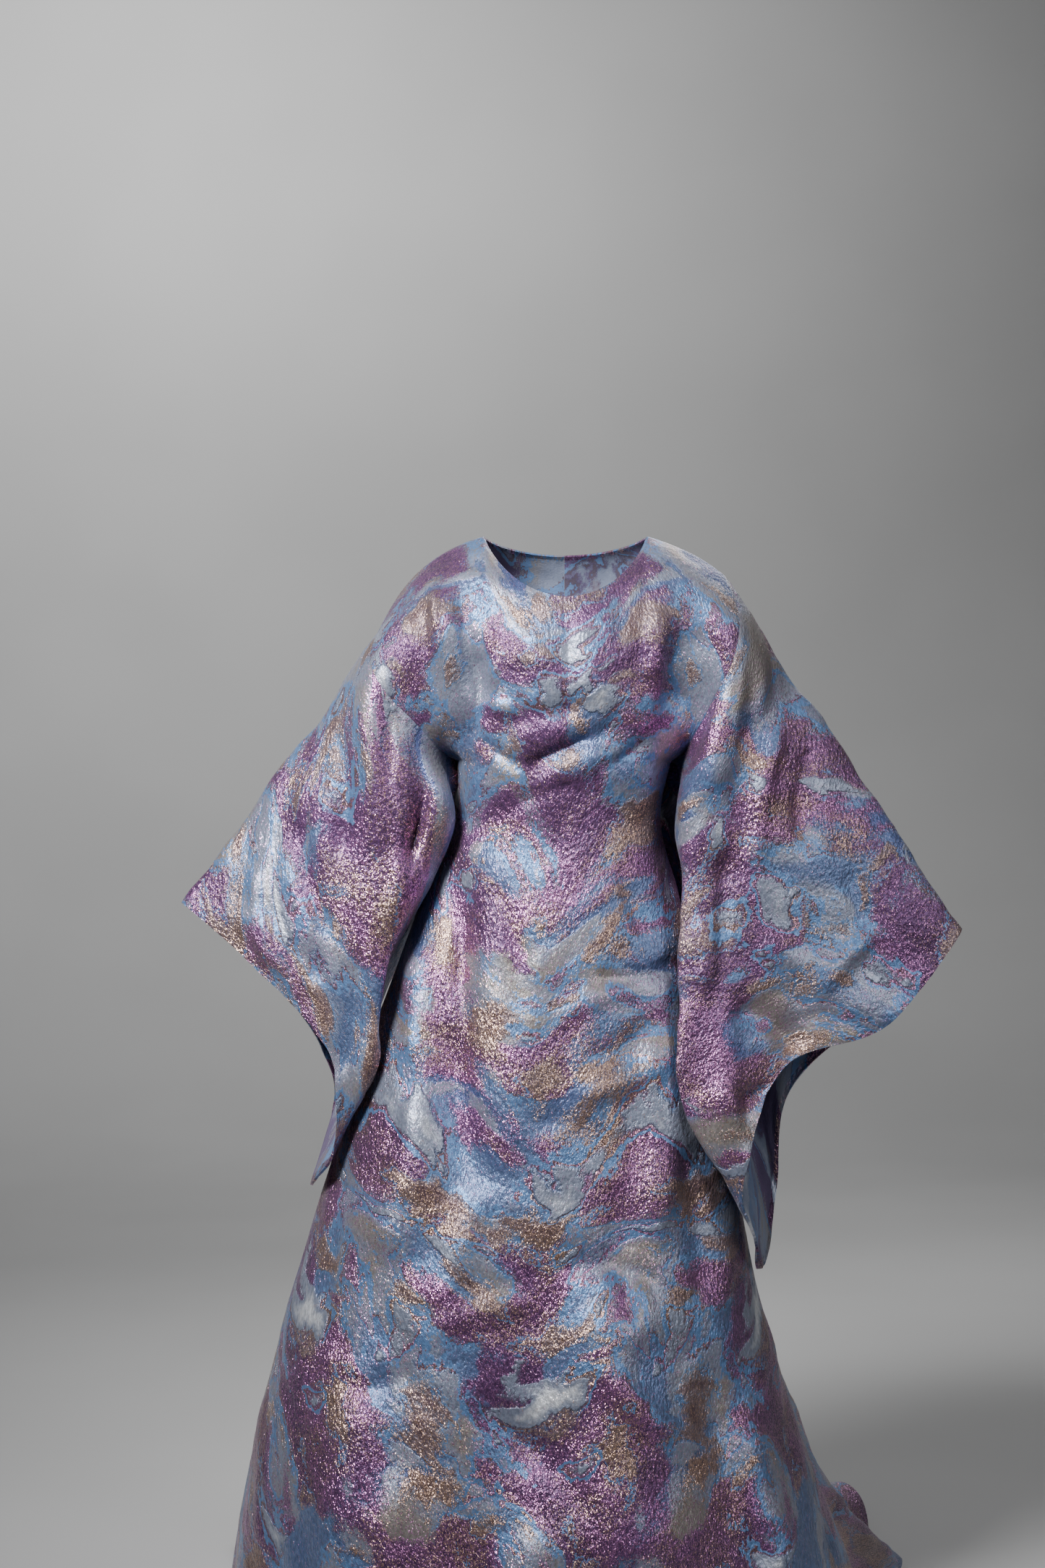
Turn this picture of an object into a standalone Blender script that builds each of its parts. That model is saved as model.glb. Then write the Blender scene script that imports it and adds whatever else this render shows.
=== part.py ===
"""Floor-length pull-on kaftan with wide butterfly sleeves and a short train, in worn form.

Units are metres, +Z is up, +X is the wearer's left and -Y is the front. The origin lies midway
between the shoulders, at the height of the neck's side, where the wearer carries the cloth.
Five pieces of stiff brocade are lofted from sections: the front, two back halves and two sleeves.
"""
from collections import namedtuple

import bmesh
import bpy
import numpy as np

# Cloth and seams
CLOTH_THICKNESS = 0.0020
SEAM_GAP = 0.0003
SHARPEST_MITRE = 0.28    # sine of half the sharpest seam angle that a mitre follows
FLOOR_Z = -1.4700

# Mesh density
RING_COLUMNS = 24        # columns across the front, and across the back
YOKE_ROWS = 14           # rows from the shoulder line to the underarm
SKIRT_ROWS = 28          # rows from the underarm to the hem
SLEEVE_ROWS = 18         # rows from the armhole to the cuff

# Neck opening
NECK_X = -0.008
NECK_HALF_WIDTH = 0.105
NECK_SIDE_Z = -0.002
NECK_FRONT_DEPTH = 0.105
NECK_FRONT_DROP = 0.085
NECK_BACK_DEPTH = 0.075
NECK_BACK_DROP = 0.018

# Shoulder line: armhole point and the bend between it and the neck, for each side
RIGHT_SHOULDER_TIP = (-0.243, 0.000, -0.119)
RIGHT_SHOULDER_BEND = (-0.210, 0.000, -0.030)
LEFT_SHOULDER_TIP = (0.200, 0.000, -0.056)
LEFT_SHOULDER_BEND = (0.165, 0.000, -0.022)

# Level rings of the body, from the underarm to the hem. Each names the side seams' places, then
# how far the front and the back stand out, the height at their centres, and how square they are.
Ring = namedtuple("Ring", "z_seam x_right x_left y_seam y_front z_front square_front "
                          "y_back z_back square_back spread_right spread_left")
RINGS = (
    Ring(-0.290, -0.146, 0.126, 0.005, -0.122, -0.290, 0.10, 0.108, -0.290, 0.05, 0.10, 0.10),
    Ring(-0.360, -0.146, 0.113, 0.002, -0.110, -0.360, 0.08, 0.116, -0.363, 0.05, 0.15, 0.25),
    Ring(-0.460, -0.188, 0.136, 0.000, -0.122, -0.460, 0.08, 0.136, -0.470, 0.05, 0.05, 0.10),
    Ring(-0.610, -0.243, 0.168, 0.000, -0.147, -0.610, 0.08, 0.172, -0.637, 0.05, 0.00, 0.00),
    Ring(-0.800, -0.306, 0.206, 0.008, -0.178, -0.800, 0.08, 0.236, -0.855, 0.05, 0.00, 0.02),
    Ring(-0.970, -0.358, 0.239, 0.018, -0.212, -0.968, 0.08, 0.318, -1.055, 0.05, 0.00, 0.06),
    Ring(-1.130, -0.400, 0.285, 0.030, -0.248, -1.126, 0.08, 0.415, -1.250, 0.06, 0.02, 0.16),
    Ring(-1.240, -0.424, 0.324, 0.042, -0.274, -1.236, 0.08, 0.500, -1.395, 0.08, 0.06, 0.36),
    Ring(-1.320, -0.438, 0.356, 0.053, -0.292, -1.316, 0.08, 0.600, -1.467, 0.10, 0.22, 0.66),
    Ring(-1.400, -0.450, 0.386, 0.066, -0.308, -1.395, 0.08, 0.725, -1.469, 0.12, 0.48, 0.96),
    Ring(-1.469, -0.460, 0.412, 0.080, -0.322, -1.464, 0.08, 0.850, -1.469, 0.12, 0.70, 1.20),
)
SEAM_BLEND = 1.5         # how slowly a ring's height leaves that of its side seams

# How the cloth leaves the shoulder line: place along it from the armhole to the neck's centre,
# and the pull outwards, away from the shoulder line and down.
Pull = namedtuple("Pull", "place out away down")
FRONT_PULLS = (Pull(0.0, 0.11, 0.45, 0.22), Pull(0.17, 0.00, 0.42, 0.12),
               Pull(0.33, 0.00, 0.36, 0.12), Pull(0.50, 0.00, 0.06, 0.19))
BACK_PULLS = (Pull(0.0, 0.11, 0.42, 0.20), Pull(0.17, 0.00, 0.38, 0.10),
              Pull(0.33, 0.00, 0.32, 0.12), Pull(0.50, 0.00, 0.12, 0.17))
UNDERARM_PULL = Pull(0.0, 0.19, 0.25, 0.135)   # how both armhole edges arrive at the underarm
UNDERARM_REACH = 0.50                          # radians of the ring that follow the armhole
YOKE_LENGTH = 0.25

# Sleeve sections from near the armhole to the cuff, by how far out they lie. top: overarm fold;
# arm: in front of the arm; bend and fold: the hanging front; toe: its lowest part; seam: the
# underarm seam; the rear points do the same behind.
Section = namedtuple("Section", "reach top arm bend fold toe seam rear_low rear_bend rear_arm")
LEFT_SECTIONS = (
    Section(0.10, (0.231, 0.000, -0.103), (0.228, -0.070, -0.165), (0.200, -0.096, -0.235),
            (0.160, -0.086, -0.300), (0.146, -0.040, -0.336), (0.152, 0.008, -0.344),
            (0.126, 0.084, -0.340), (0.166, 0.106, -0.285), (0.228, 0.080, -0.185)),
    Section(0.25, (0.274, 0.000, -0.170), (0.236, -0.072, -0.245), (0.184, -0.098, -0.335),
            (0.134, -0.084, -0.415), (0.140, -0.038, -0.448), (0.152, 0.010, -0.458),
            (0.112, 0.094, -0.445), (0.160, 0.120, -0.360), (0.240, 0.075, -0.250)),
    Section(0.50, (0.352, -0.003, -0.281), (0.292, -0.062, -0.370), (0.215, -0.092, -0.475),
            (0.130, -0.112, -0.575), (0.176, -0.060, -0.615), (0.192, 0.010, -0.622),
            (0.172, 0.110, -0.612), (0.215, 0.125, -0.510), (0.300, 0.065, -0.380)),
    Section(0.75, (0.427, -0.006, -0.395), (0.345, -0.058, -0.500), (0.245, -0.092, -0.590),
            (0.133, -0.138, -0.710), (0.204, -0.085, -0.775), (0.227, 0.012, -0.792),
            (0.224, 0.115, -0.770), (0.254, 0.122, -0.650), (0.350, 0.058, -0.505)),
    Section(1.00, (0.501, -0.010, -0.505), (0.395, -0.055, -0.627), (0.268, -0.100, -0.672),
            (0.209, -0.135, -0.815), (0.228, -0.100, -0.885), (0.247, 0.015, -0.944),
            (0.274, 0.098, -0.862), (0.290, 0.108, -0.732), (0.395, 0.050, -0.618)),
)
RIGHT_SECTIONS = (
    Section(0.10, (-0.266, 0.000, -0.152), (-0.272, -0.070, -0.205), (-0.240, -0.094, -0.262),
            (-0.188, -0.082, -0.303), (-0.162, -0.044, -0.326), (-0.166, 0.006, -0.338),
            (-0.140, 0.082, -0.338), (-0.192, 0.106, -0.288), (-0.268, 0.082, -0.215)),
    Section(0.25, (-0.300, 0.000, -0.205), (-0.285, -0.070, -0.265), (-0.245, -0.095, -0.335),
            (-0.203, -0.085, -0.390), (-0.186, -0.046, -0.422), (-0.192, 0.010, -0.432),
            (-0.160, 0.096, -0.425), (-0.208, 0.118, -0.350), (-0.285, 0.072, -0.265)),
    Section(0.50, (-0.367, -0.003, -0.290), (-0.335, -0.062, -0.375), (-0.280, -0.095, -0.460),
            (-0.231, -0.100, -0.530), (-0.238, -0.055, -0.560), (-0.250, 0.012, -0.566),
            (-0.232, 0.105, -0.556), (-0.265, 0.120, -0.480), (-0.335, 0.062, -0.380)),
    Section(0.75, (-0.433, -0.006, -0.382), (-0.385, -0.058, -0.470), (-0.300, -0.095, -0.575),
            (-0.248, -0.105, -0.665), (-0.272, -0.060, -0.695), (-0.293, 0.014, -0.702),
            (-0.285, 0.105, -0.690), (-0.310, 0.112, -0.600), (-0.385, 0.055, -0.472)),
    Section(1.00, (-0.499, -0.010, -0.473), (-0.395, -0.055, -0.556), (-0.305, -0.090, -0.655),
            (-0.297, -0.088, -0.760), (-0.308, -0.070, -0.800), (-0.336, 0.018, -0.838),
            (-0.326, 0.085, -0.806), (-0.314, 0.098, -0.710), (-0.400, 0.050, -0.562)),
)

# Largest folds, seen from the front: both ends in x and z, the sideways bow of the line between
# them, the fold's half-width, and its height. A negative height is a trough.
Fold = namedtuple("Fold", "x0 z0 x1 z1 bow width height")
FRONT_FOLDS = (
    Fold(-0.068, -0.318, 0.066, -0.246, 0.006, 0.016, -0.008),   # drag under the bust
    Fold(-0.050, -0.335, 0.040, -0.285, 0.006, 0.020, 0.005),    # roll below that drag
    Fold(-0.095, -0.248, 0.035, -0.226, 0.004, 0.015, -0.005),   # shorter drag above it
    Fold(0.152, -0.085, 0.142, -0.240, 0.000, 0.022, -0.016),    # hollow before the left armpit
    Fold(0.184, -0.080, 0.190, -0.200, 0.006, 0.014, 0.009),     # roll beside that hollow
    Fold(-0.160, -0.075, -0.152, -0.262, 0.004, 0.016, 0.012),   # roll from the right shoulder
    Fold(-0.192, -0.095, -0.180, -0.250, 0.003, 0.016, -0.010),  # trough outside that roll
    Fold(-0.128, -0.100, -0.118, -0.260, 0.003, 0.018, -0.007),  # trough inside it
    Fold(-0.140, -0.400, -0.128, -0.800, -0.020, 0.030, -0.014), # long trough beside the hip
    Fold(-0.182, -0.700, -0.245, -0.900, 0.010, 0.034, 0.013),   # ridge on the right thigh
    Fold(0.015, -0.660, 0.108, -0.610, -0.010, 0.020, -0.008),   # drag below the hip
    Fold(0.108, -0.600, 0.088, -0.900, 0.010, 0.026, 0.011),     # ridge on the left thigh
    Fold(-0.030, -0.840, -0.200, -1.500, 0.030, 0.055, -0.018),  # soft diagonals of the skirt
    Fold(0.040, -0.880, 0.130, -1.500, -0.020, 0.055, 0.018),
    Fold(0.170, -1.000, 0.250, -1.500, -0.010, 0.045, -0.014),
    Fold(-0.255, -1.020, -0.330, -1.500, 0.010, 0.042, 0.018),
)
RIGHT_SLEEVE_FOLDS = (
    Fold(-0.190, -0.265, -0.206, -0.430, 0.004, 0.015, -0.016),  # trough beside the underarm roll
    Fold(-0.262, -0.170, -0.250, -0.420, 0.010, 0.022, 0.009),   # roll hanging from the shoulder
    Fold(-0.330, -0.300, -0.345, -0.540, 0.010, 0.028, 0.008),
)
LEFT_SLEEVE_FOLDS = (
    Fold(0.214, -0.120, 0.172, -0.340, -0.010, 0.020, 0.011),    # roll beside the armhole
    Fold(0.240, -0.190, 0.205, -0.470, -0.012, 0.022, -0.009),
    Fold(0.300, -0.560, 0.215, -0.720, 0.020, 0.026, -0.010),    # sag between wrist and body
    Fold(0.165, -0.480, 0.190, -0.780, 0.006, 0.022, 0.010),
)

# Flutes of the back, which open towards the train: their place round the back from the left
# side seam, in degrees, the seam height where they start, half-width in degrees and height.
Flute = namedtuple("Flute", "angle z_start width height")
BACK_FLUTES = (
    Flute(22.5, -0.62, 8.0, 0.042),
    Flute(37.5, -0.50, 7.5, -0.026),
    Flute(52.5, -0.36, 8.5, 0.046),
    Flute(67.5, -0.55, 7.5, -0.020),
    Flute(82.5, -0.42, 8.0, 0.032),
    Flute(97.5, -0.36, 8.0, -0.028),
    Flute(112.5, -0.48, 8.0, 0.044),
    Flute(127.5, -0.60, 7.5, -0.024),
    Flute(142.5, -0.52, 8.5, 0.040),
    Flute(157.5, -0.66, 8.0, -0.018),
)
FLUTE_GROWTH = 0.80      # length over which a flute reaches its height
EDGE_CALM = 0.030        # folds fade out over this distance from a seam

# Brocade of the plain model
BROCADE_COLOUR = (0.22, 0.25, 0.42, 1.0)
BROCADE_ROUGHNESS = 0.42
BROCADE_METALLIC = 0.35


def clear_scene():
    for item in list(bpy.data.objects):
        bpy.data.objects.remove(item, do_unlink=True)


def smooth_rows(knots, values, at):
    """Values on the smooth curve through the rows (knots rise), at the given places."""
    knots = np.asarray(knots, float)
    values = np.asarray(values, float)
    steps = np.diff(knots)
    slopes = np.diff(values, axis=0) / steps.reshape((-1,) + (1,) * (values.ndim - 1))
    tangents = np.empty_like(values)
    tangents[0] = slopes[0]
    tangents[-1] = slopes[-1]
    for k in range(1, len(knots) - 1):
        ahead = steps[k - 1] / (steps[k - 1] + steps[k])
        tangents[k] = slopes[k] * ahead + slopes[k - 1] * (1 - ahead)
    at = np.clip(np.asarray(at, float), knots[0], knots[-1])
    cell = np.clip(np.searchsorted(knots, at, side="right") - 1, 0, len(knots) - 2)
    shape = (-1,) + (1,) * (values.ndim - 1)
    width = steps[cell].reshape(shape)
    t = ((at - knots[cell]) / steps[cell]).reshape(shape)
    return ((2 * t**3 - 3 * t**2 + 1) * values[cell] + (t**3 - 2 * t**2 + t) * width * tangents[cell]
            + (3 * t**2 - 2 * t**3) * values[cell + 1] + (t**3 - t**2) * width * tangents[cell + 1])


def ring_points(depths, angles, is_front):
    """Body points for seam depths below the origin (rows) and angles round half a ring (columns).

    Angle 0 is the right side seam on the front, and the left side seam on the back.
    """
    table = np.array(RINGS)
    rings = Ring(*smooth_rows(-table[:, 0], table, depths).T[:, :, None])
    cos, sin = np.cos(angles)[None, :], np.sin(angles)[None, :]
    middle = (rings.x_left + rings.x_right) / 2
    half = (rings.x_left - rings.x_right) / 2
    if is_front:
        along, reach, z_middle = -cos, rings.y_front - rings.y_seam, rings.z_front
        square, spread = rings.square_front, rings.square_front
    else:
        along, reach, z_middle = cos, rings.y_back - rings.y_seam, rings.z_back
        square = rings.square_back
        spread = np.where(cos > 0, rings.spread_left, rings.spread_right)
    x = middle + half * along * (1 + spread * sin**2)
    y = rings.y_seam + reach * sin * (1 + square * cos**2)
    z = rings.z_seam + (z_middle - rings.z_seam) * sin**SEAM_BLEND
    return np.stack([x, y, z + 0 * x], axis=2)


def bezier(start, bend, end, t):
    t = t[:, None]
    return (1 - t)**2 * np.array(start) + 2 * t * (1 - t) * np.array(bend) + t**2 * np.array(end)


def shoulder_line(places, is_front):
    """Points from the right armhole over the shoulder, round half the neck, to the left armhole."""
    line = np.zeros((len(places), 3))
    right = places <= 1 / 3
    left = places >= 2 / 3
    neck = ~(right | left)
    neck_right = (NECK_X - NECK_HALF_WIDTH, 0.0, NECK_SIDE_Z)
    neck_left = (NECK_X + NECK_HALF_WIDTH, 0.0, NECK_SIDE_Z)
    line[right] = bezier(RIGHT_SHOULDER_TIP, RIGHT_SHOULDER_BEND, neck_right, places[right] * 3)
    line[left] = bezier(neck_left, LEFT_SHOULDER_BEND, LEFT_SHOULDER_TIP, places[left] * 3 - 2)
    turn = np.pi * (places[neck] * 3 - 1)
    depth = -NECK_FRONT_DEPTH if is_front else NECK_BACK_DEPTH
    drop = NECK_FRONT_DROP if is_front else NECK_BACK_DROP
    line[neck, 0] = NECK_X - NECK_HALF_WIDTH * np.cos(turn)
    line[neck, 1] = depth * np.sin(turn)**SEAM_BLEND
    line[neck, 2] = NECK_SIDE_Z - drop * np.sin(turn)**SEAM_BLEND
    return line


def pulls_along(places, is_front):
    """Direction and strength with which the cloth leaves the shoulder line."""
    table = np.array(FRONT_PULLS if is_front else BACK_PULLS)
    from_armhole = np.minimum(places, 1 - places)
    pull = Pull(*smooth_rows(table[:, 0], table, from_armhole).T)
    side = np.sign(places - 0.5)
    away = -pull.away if is_front else pull.away
    return np.stack([side * pull.out, away, -pull.down], axis=1)


def yoke_points(steps, angles, is_front):
    """Points from the shoulder line (step 0) to the underarm ring (step 1)."""
    turned = angles if is_front else np.pi - angles
    places = turned / np.pi
    top = shoulder_line(places, is_front)
    top_pull = pulls_along(places, is_front)
    small = 0.002
    first = -RINGS[0].z_seam
    ring, below = ring_points(np.array([first, first + small]), angles, is_front)
    ring_pull = (below - ring) / small * YOKE_LENGTH
    side = np.sign(places - 0.5)
    away = UNDERARM_PULL.away if is_front else -UNDERARM_PULL.away
    edge_pull = np.stack([-side * UNDERARM_PULL.out, away + 0 * side,
                          -UNDERARM_PULL.down + 0 * side], axis=1)
    from_side = np.minimum(angles, np.pi - angles)
    share = np.exp(-(from_side / UNDERARM_REACH)**2)[:, None]
    ring_pull = edge_pull * share + ring_pull * (1 - share)
    t = steps[:, None, None]
    return ((2 * t**3 - 3 * t**2 + 1) * top + (t**3 - 2 * t**2 + t) * top_pull
            + (3 * t**2 - 2 * t**3) * ring + (t**3 - t**2) * ring_pull)


def body_net(is_front):
    """Grid of cloth points, shoulder line to hem, over the whole front or the whole back."""
    angles = np.linspace(0, np.pi, RING_COLUMNS + 1)
    yoke = yoke_points(np.linspace(0, 1, YOKE_ROWS + 1), angles, is_front)
    depths = np.linspace(-RINGS[0].z_seam, -RINGS[-1].z_seam, SKIRT_ROWS + 1)
    skirt = ring_points(depths[1:], angles, is_front)
    return np.concatenate([yoke, skirt])


def resample(points, count):
    """The smooth curve through the points, cut into equal lengths."""
    chords = np.linalg.norm(np.diff(points, axis=0), axis=1)
    knots = np.concatenate([[0], np.cumsum(np.sqrt(chords))])
    fine = smooth_rows(knots, points, np.linspace(0, knots[-1], 200))
    run = np.concatenate([[0], np.cumsum(np.linalg.norm(np.diff(fine, axis=0), axis=1))])
    places = np.linspace(0, run[-1], count + 1)
    return np.stack([np.interp(places, run, fine[:, k]) for k in range(3)], axis=1)


def section_loop(section):
    """Half of the loop in front, from the underarm seam to the overarm, then half behind."""
    front = [section.rear_low, section.seam, section.toe, section.fold, section.bend,
             section.arm, section.top, section.rear_arm]
    behind = [section.arm, section.top, section.rear_arm, section.rear_bend, section.rear_low,
              section.seam, section.toe]
    halves = []
    for names in (front, behind):
        points = np.array(names)
        chords = np.sqrt(np.linalg.norm(np.diff(points, axis=0), axis=1))
        knots = np.concatenate([[0], np.cumsum(chords)])
        inner = np.linspace(knots[1], knots[-2], 60)
        halves.append(resample(smooth_rows(knots, points, inner), YOKE_ROWS))
    return np.concatenate([halves[0], halves[1][1:]])


def sleeve_net(front, back, sections, edge_front, edge_back):
    """Grid of cloth points from the armhole to the cuff, round from underarm seam to itself."""
    armhole_front = front[YOKE_ROWS::-1, edge_front]
    armhole_back = back[1:YOKE_ROWS + 1, edge_back]
    loops = [np.concatenate([armhole_front, armhole_back])]
    loops += [section_loop(section) for section in sections]
    knots = [0.0] + [section.reach for section in sections]
    return smooth_rows(knots, np.array(loops), np.linspace(0, 1, SLEEVE_ROWS + 1))


def net_normals(net):
    """Outward unit normal at each point of a grid, the mean of the faces round it."""
    faces = np.cross(net[1:, 1:] - net[:-1, :-1], net[:-1, 1:] - net[1:, :-1])
    faces /= np.maximum(np.linalg.norm(faces, axis=2, keepdims=True), 1e-12)
    normals = np.zeros_like(net)
    for rows in (slice(None, -1), slice(1, None)):
        for columns in (slice(None, -1), slice(1, None)):
            normals[rows, columns] += faces
    return normals / np.maximum(np.linalg.norm(normals, axis=2, keepdims=True), 1e-12)


def edge_fade(net, calm_edges):
    """0 on the named seams, rising to 1 at EDGE_CALM from them along the cloth."""
    fade = np.ones(net.shape[:2])
    across = np.linalg.norm(np.diff(net, axis=1), axis=2)
    down = np.linalg.norm(np.diff(net, axis=0), axis=2)
    runs = {
        "first_column": np.pad(np.cumsum(across, axis=1), ((0, 0), (1, 0))),
        "last_column": np.pad(np.cumsum(across[:, ::-1], axis=1), ((0, 0), (1, 0)))[:, ::-1],
        "first_row": np.pad(np.cumsum(down, axis=0), ((1, 0), (0, 0))),
    }
    for edge in calm_edges:
        t = np.clip(runs[edge] / EDGE_CALM, 0, 1)
        fade *= t * t * (3 - 2 * t)
    return fade


def fold_heights(net, folds):
    """Sum of the folds' heights at each point, measured in the front view."""
    heights = np.zeros(net.shape[:2])
    for fold in folds:
        start = np.array([fold.x0, fold.z0])
        line = np.array([fold.x1, fold.z1]) - start
        length = np.linalg.norm(line)
        line /= length
        offset = net[:, :, [0, 2]] - start
        along = offset @ line / length
        aside = offset @ np.array([-line[1], line[0]]) - fold.bow * 4 * along * (1 - along)
        ends = 1 / (1 + np.exp(-(along - 0.08) * 25)) / (1 + np.exp((along - 0.92) * 25))
        heights += fold.height * ends * np.exp(-(aside / fold.width)**2)
    return heights


def flute_heights(net):
    """Sum of the back flutes' heights at each point of the back grid."""
    angles = np.linspace(0, 180, net.shape[1])[None, :]
    seam_z = net[:, :1, 2]
    heights = np.zeros(net.shape[:2])
    for flute in BACK_FLUTES:
        growth = np.clip((flute.z_start - seam_z) / FLUTE_GROWTH, 0, 1)
        growth = growth * growth * (3 - 2 * growth)
        heights += flute.height * growth * np.exp(-((angles - flute.angle) / flute.width)**2)
    return heights


def above_floor(net):
    net = net.copy()
    net[:, :, 2] = np.maximum(net[:, :, 2], FLOOR_Z + CLOTH_THICKNESS / 2)
    return net


def all_nets():
    """Every piece's grid by name. Seam points of neighbouring pieces are the same points."""
    front = body_net(True)
    back = body_net(False)
    left = sleeve_net(front, back, LEFT_SECTIONS, -1, 0)
    right = sleeve_net(front, back, RIGHT_SECTIONS, 0, -1)[:, ::-1]
    seams = ("first_column", "last_column", "first_row")
    for net, folds in ((front, FRONT_FOLDS), (left, LEFT_SLEEVE_FOLDS), (right, RIGHT_SLEEVE_FOLDS)):
        heights = fold_heights(net, folds) * edge_fade(net, seams)
        before = net_normals(net)
        heights *= np.clip(-before[:, :, 1] * 3, 0, 1)
        net += before * heights[:, :, None]
    back += net_normals(back) * (flute_heights(back) * edge_fade(back, seams))[:, :, None]
    half = RING_COLUMNS // 2
    nets = {
        "front_panel": front,
        "back_left_panel": back[:, :half + 1],
        "back_right_panel": back[:, half:],
        "left_sleeve": left,
        "right_sleeve": right,
    }
    return {name: above_floor(net) for name, net in nets.items()}


def border_points(net):
    """Row and column of every point on a grid's border."""
    rows, columns = net.shape[:2]
    edge = [(i, j) for i in (0, rows - 1) for j in range(columns)]
    return edge + [(i, j) for i in range(1, rows - 1) for j in (0, columns - 1)]


def mitred_normals(nets):
    """Normals that halve the angle between pieces at their seams, longer where it is sharp.

    Moved out and in along them, neighbouring walls keep their thickness and meet edge to edge.
    """
    mitred = {name: net_normals(net) for name, net in nets.items()}
    meeting = {}
    for name, net in nets.items():
        for i, j in border_points(net):
            meeting.setdefault(tuple(np.round(net[i, j], 6)), []).append(mitred[name][i, j].copy())
    for name, net in nets.items():
        for i, j in border_points(net):
            mean = np.mean(meeting[tuple(np.round(net[i, j], 6))], axis=0)
            cosine = np.linalg.norm(mean)
            mitred[name][i, j] = mean / cosine / max(cosine, SHARPEST_MITRE)
    return mitred


def draw_back_from_seams(net, normals, open_edges):
    """Moves a piece's sewn edges in by half of the seam gap, so that pieces don't touch."""
    moved = net.copy()
    mitres = np.linalg.norm(normals, axis=2, keepdims=True)
    edges = {
        "first_column": ((slice(None), 0), (slice(None), 1)),
        "last_column": ((slice(None), -1), (slice(None), -2)),
        "first_row": (0, 1),
        "last_row": (-1, -2),
    }
    for edge, (rim, inner) in edges.items():
        if edge in open_edges:
            continue
        inward = net[inner] - net[rim]
        inward /= np.linalg.norm(inward, axis=-1, keepdims=True)
        moved[rim] += inward * mitres[rim] * SEAM_GAP / 2
    return moved


def brocade_material(name):
    material = bpy.data.materials.new(name)
    material.use_nodes = True
    shader = material.node_tree.nodes["Principled BSDF"]
    shader.inputs["Base Color"].default_value = BROCADE_COLOUR
    shader.inputs["Roughness"].default_value = BROCADE_ROUGHNESS
    shader.inputs["Metallic"].default_value = BROCADE_METALLIC
    return material


def cloth_piece(name, net, drawn_back, normals, collection):
    """Closed wall of cloth: the grid moved out and in by half the thickness, and rims between.

    A rim is split from the same corner on both sides of a seam, so that the two rims run level.
    """
    rows, columns = net.shape[:2]
    half = CLOTH_THICKNESS / 2
    mesh_builder = bmesh.new()
    layers = []
    for layer in (drawn_back + normals * half, drawn_back - normals * half):
        layers.append([[mesh_builder.verts.new(point) for point in row] for row in layer])
    outer, inner = layers
    for i in range(rows - 1):
        for j in range(columns - 1):
            mesh_builder.faces.new((outer[i][j], outer[i + 1][j], outer[i + 1][j + 1], outer[i][j + 1]))
            mesh_builder.faces.new((inner[i][j], inner[i][j + 1], inner[i + 1][j + 1], inner[i + 1][j]))
    border = [(0, j) for j in range(columns - 1)]
    border += [(i, columns - 1) for i in range(rows - 1)]
    border += [(rows - 1, j) for j in range(columns - 1, 0, -1)]
    border += [(i, 0) for i in range(rows - 1, 0, -1)]
    for (i, j), (k, m) in zip(border, border[1:] + border[:1]):
        rim = [outer[i][j], outer[k][m], inner[k][m], inner[i][j]]
        if tuple(np.round(net[i, j], 5)) > tuple(np.round(net[k, m], 5)):
            rim = rim[1:] + rim[:1]
        mesh_builder.faces.new((rim[0], rim[1], rim[2]))
        mesh_builder.faces.new((rim[0], rim[2], rim[3]))
    bmesh.ops.recalc_face_normals(mesh_builder, faces=mesh_builder.faces)
    mesh = bpy.data.meshes.new(name)
    mesh_builder.to_mesh(mesh)
    mesh_builder.free()
    mesh.shade_smooth()
    mesh.set_sharp_from_angle(angle=np.radians(50))
    mesh.materials.append(brocade_material(name))
    piece = bpy.data.objects.new(name, mesh)
    collection.objects.link(piece)
    return piece


def build():
    clear_scene()
    collection = bpy.data.collections.new("kaftan")
    bpy.context.scene.collection.children.link(collection)
    nets = all_nets()
    normals = mitred_normals(nets)
    for name, net in nets.items():
        drawn_back = draw_back_from_seams(net, normals[name], open_edges=("last_row",))
        cloth_piece(name, net, drawn_back, normals[name], collection)


build()
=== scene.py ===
"""Looks of a floor-length pull-on kaftan: five shells of crinkled metallic brocade, in worn form.

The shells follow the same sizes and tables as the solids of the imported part, at a finer step, with
the smaller creases, the sewn edges and the stitches added. Units are metres, +Z is up, +X is the
wearer's left and -Y is the front.
"""
from collections import namedtuple

import bpy
import numpy as np
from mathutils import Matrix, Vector, noise


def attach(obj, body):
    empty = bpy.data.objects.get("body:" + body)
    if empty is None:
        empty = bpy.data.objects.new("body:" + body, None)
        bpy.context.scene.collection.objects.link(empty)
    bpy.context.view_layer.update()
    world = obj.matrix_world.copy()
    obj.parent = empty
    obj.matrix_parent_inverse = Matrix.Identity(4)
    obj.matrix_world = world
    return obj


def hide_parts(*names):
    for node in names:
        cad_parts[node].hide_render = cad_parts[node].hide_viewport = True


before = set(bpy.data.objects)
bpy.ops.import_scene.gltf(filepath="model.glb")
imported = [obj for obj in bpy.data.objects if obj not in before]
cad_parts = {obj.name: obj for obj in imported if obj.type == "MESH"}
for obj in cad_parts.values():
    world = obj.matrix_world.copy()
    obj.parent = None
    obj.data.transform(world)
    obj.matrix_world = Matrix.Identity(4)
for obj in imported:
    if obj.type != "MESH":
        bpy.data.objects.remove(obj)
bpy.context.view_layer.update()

# Cloth and seams
CLOTH_THICKNESS = 0.0020
SEAM_GAP = 0.0003
SHARPEST_MITRE = 0.28  # sine of half the sharpest seam angle that a mitre follows
FLOOR_Z = -1.4700

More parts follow.
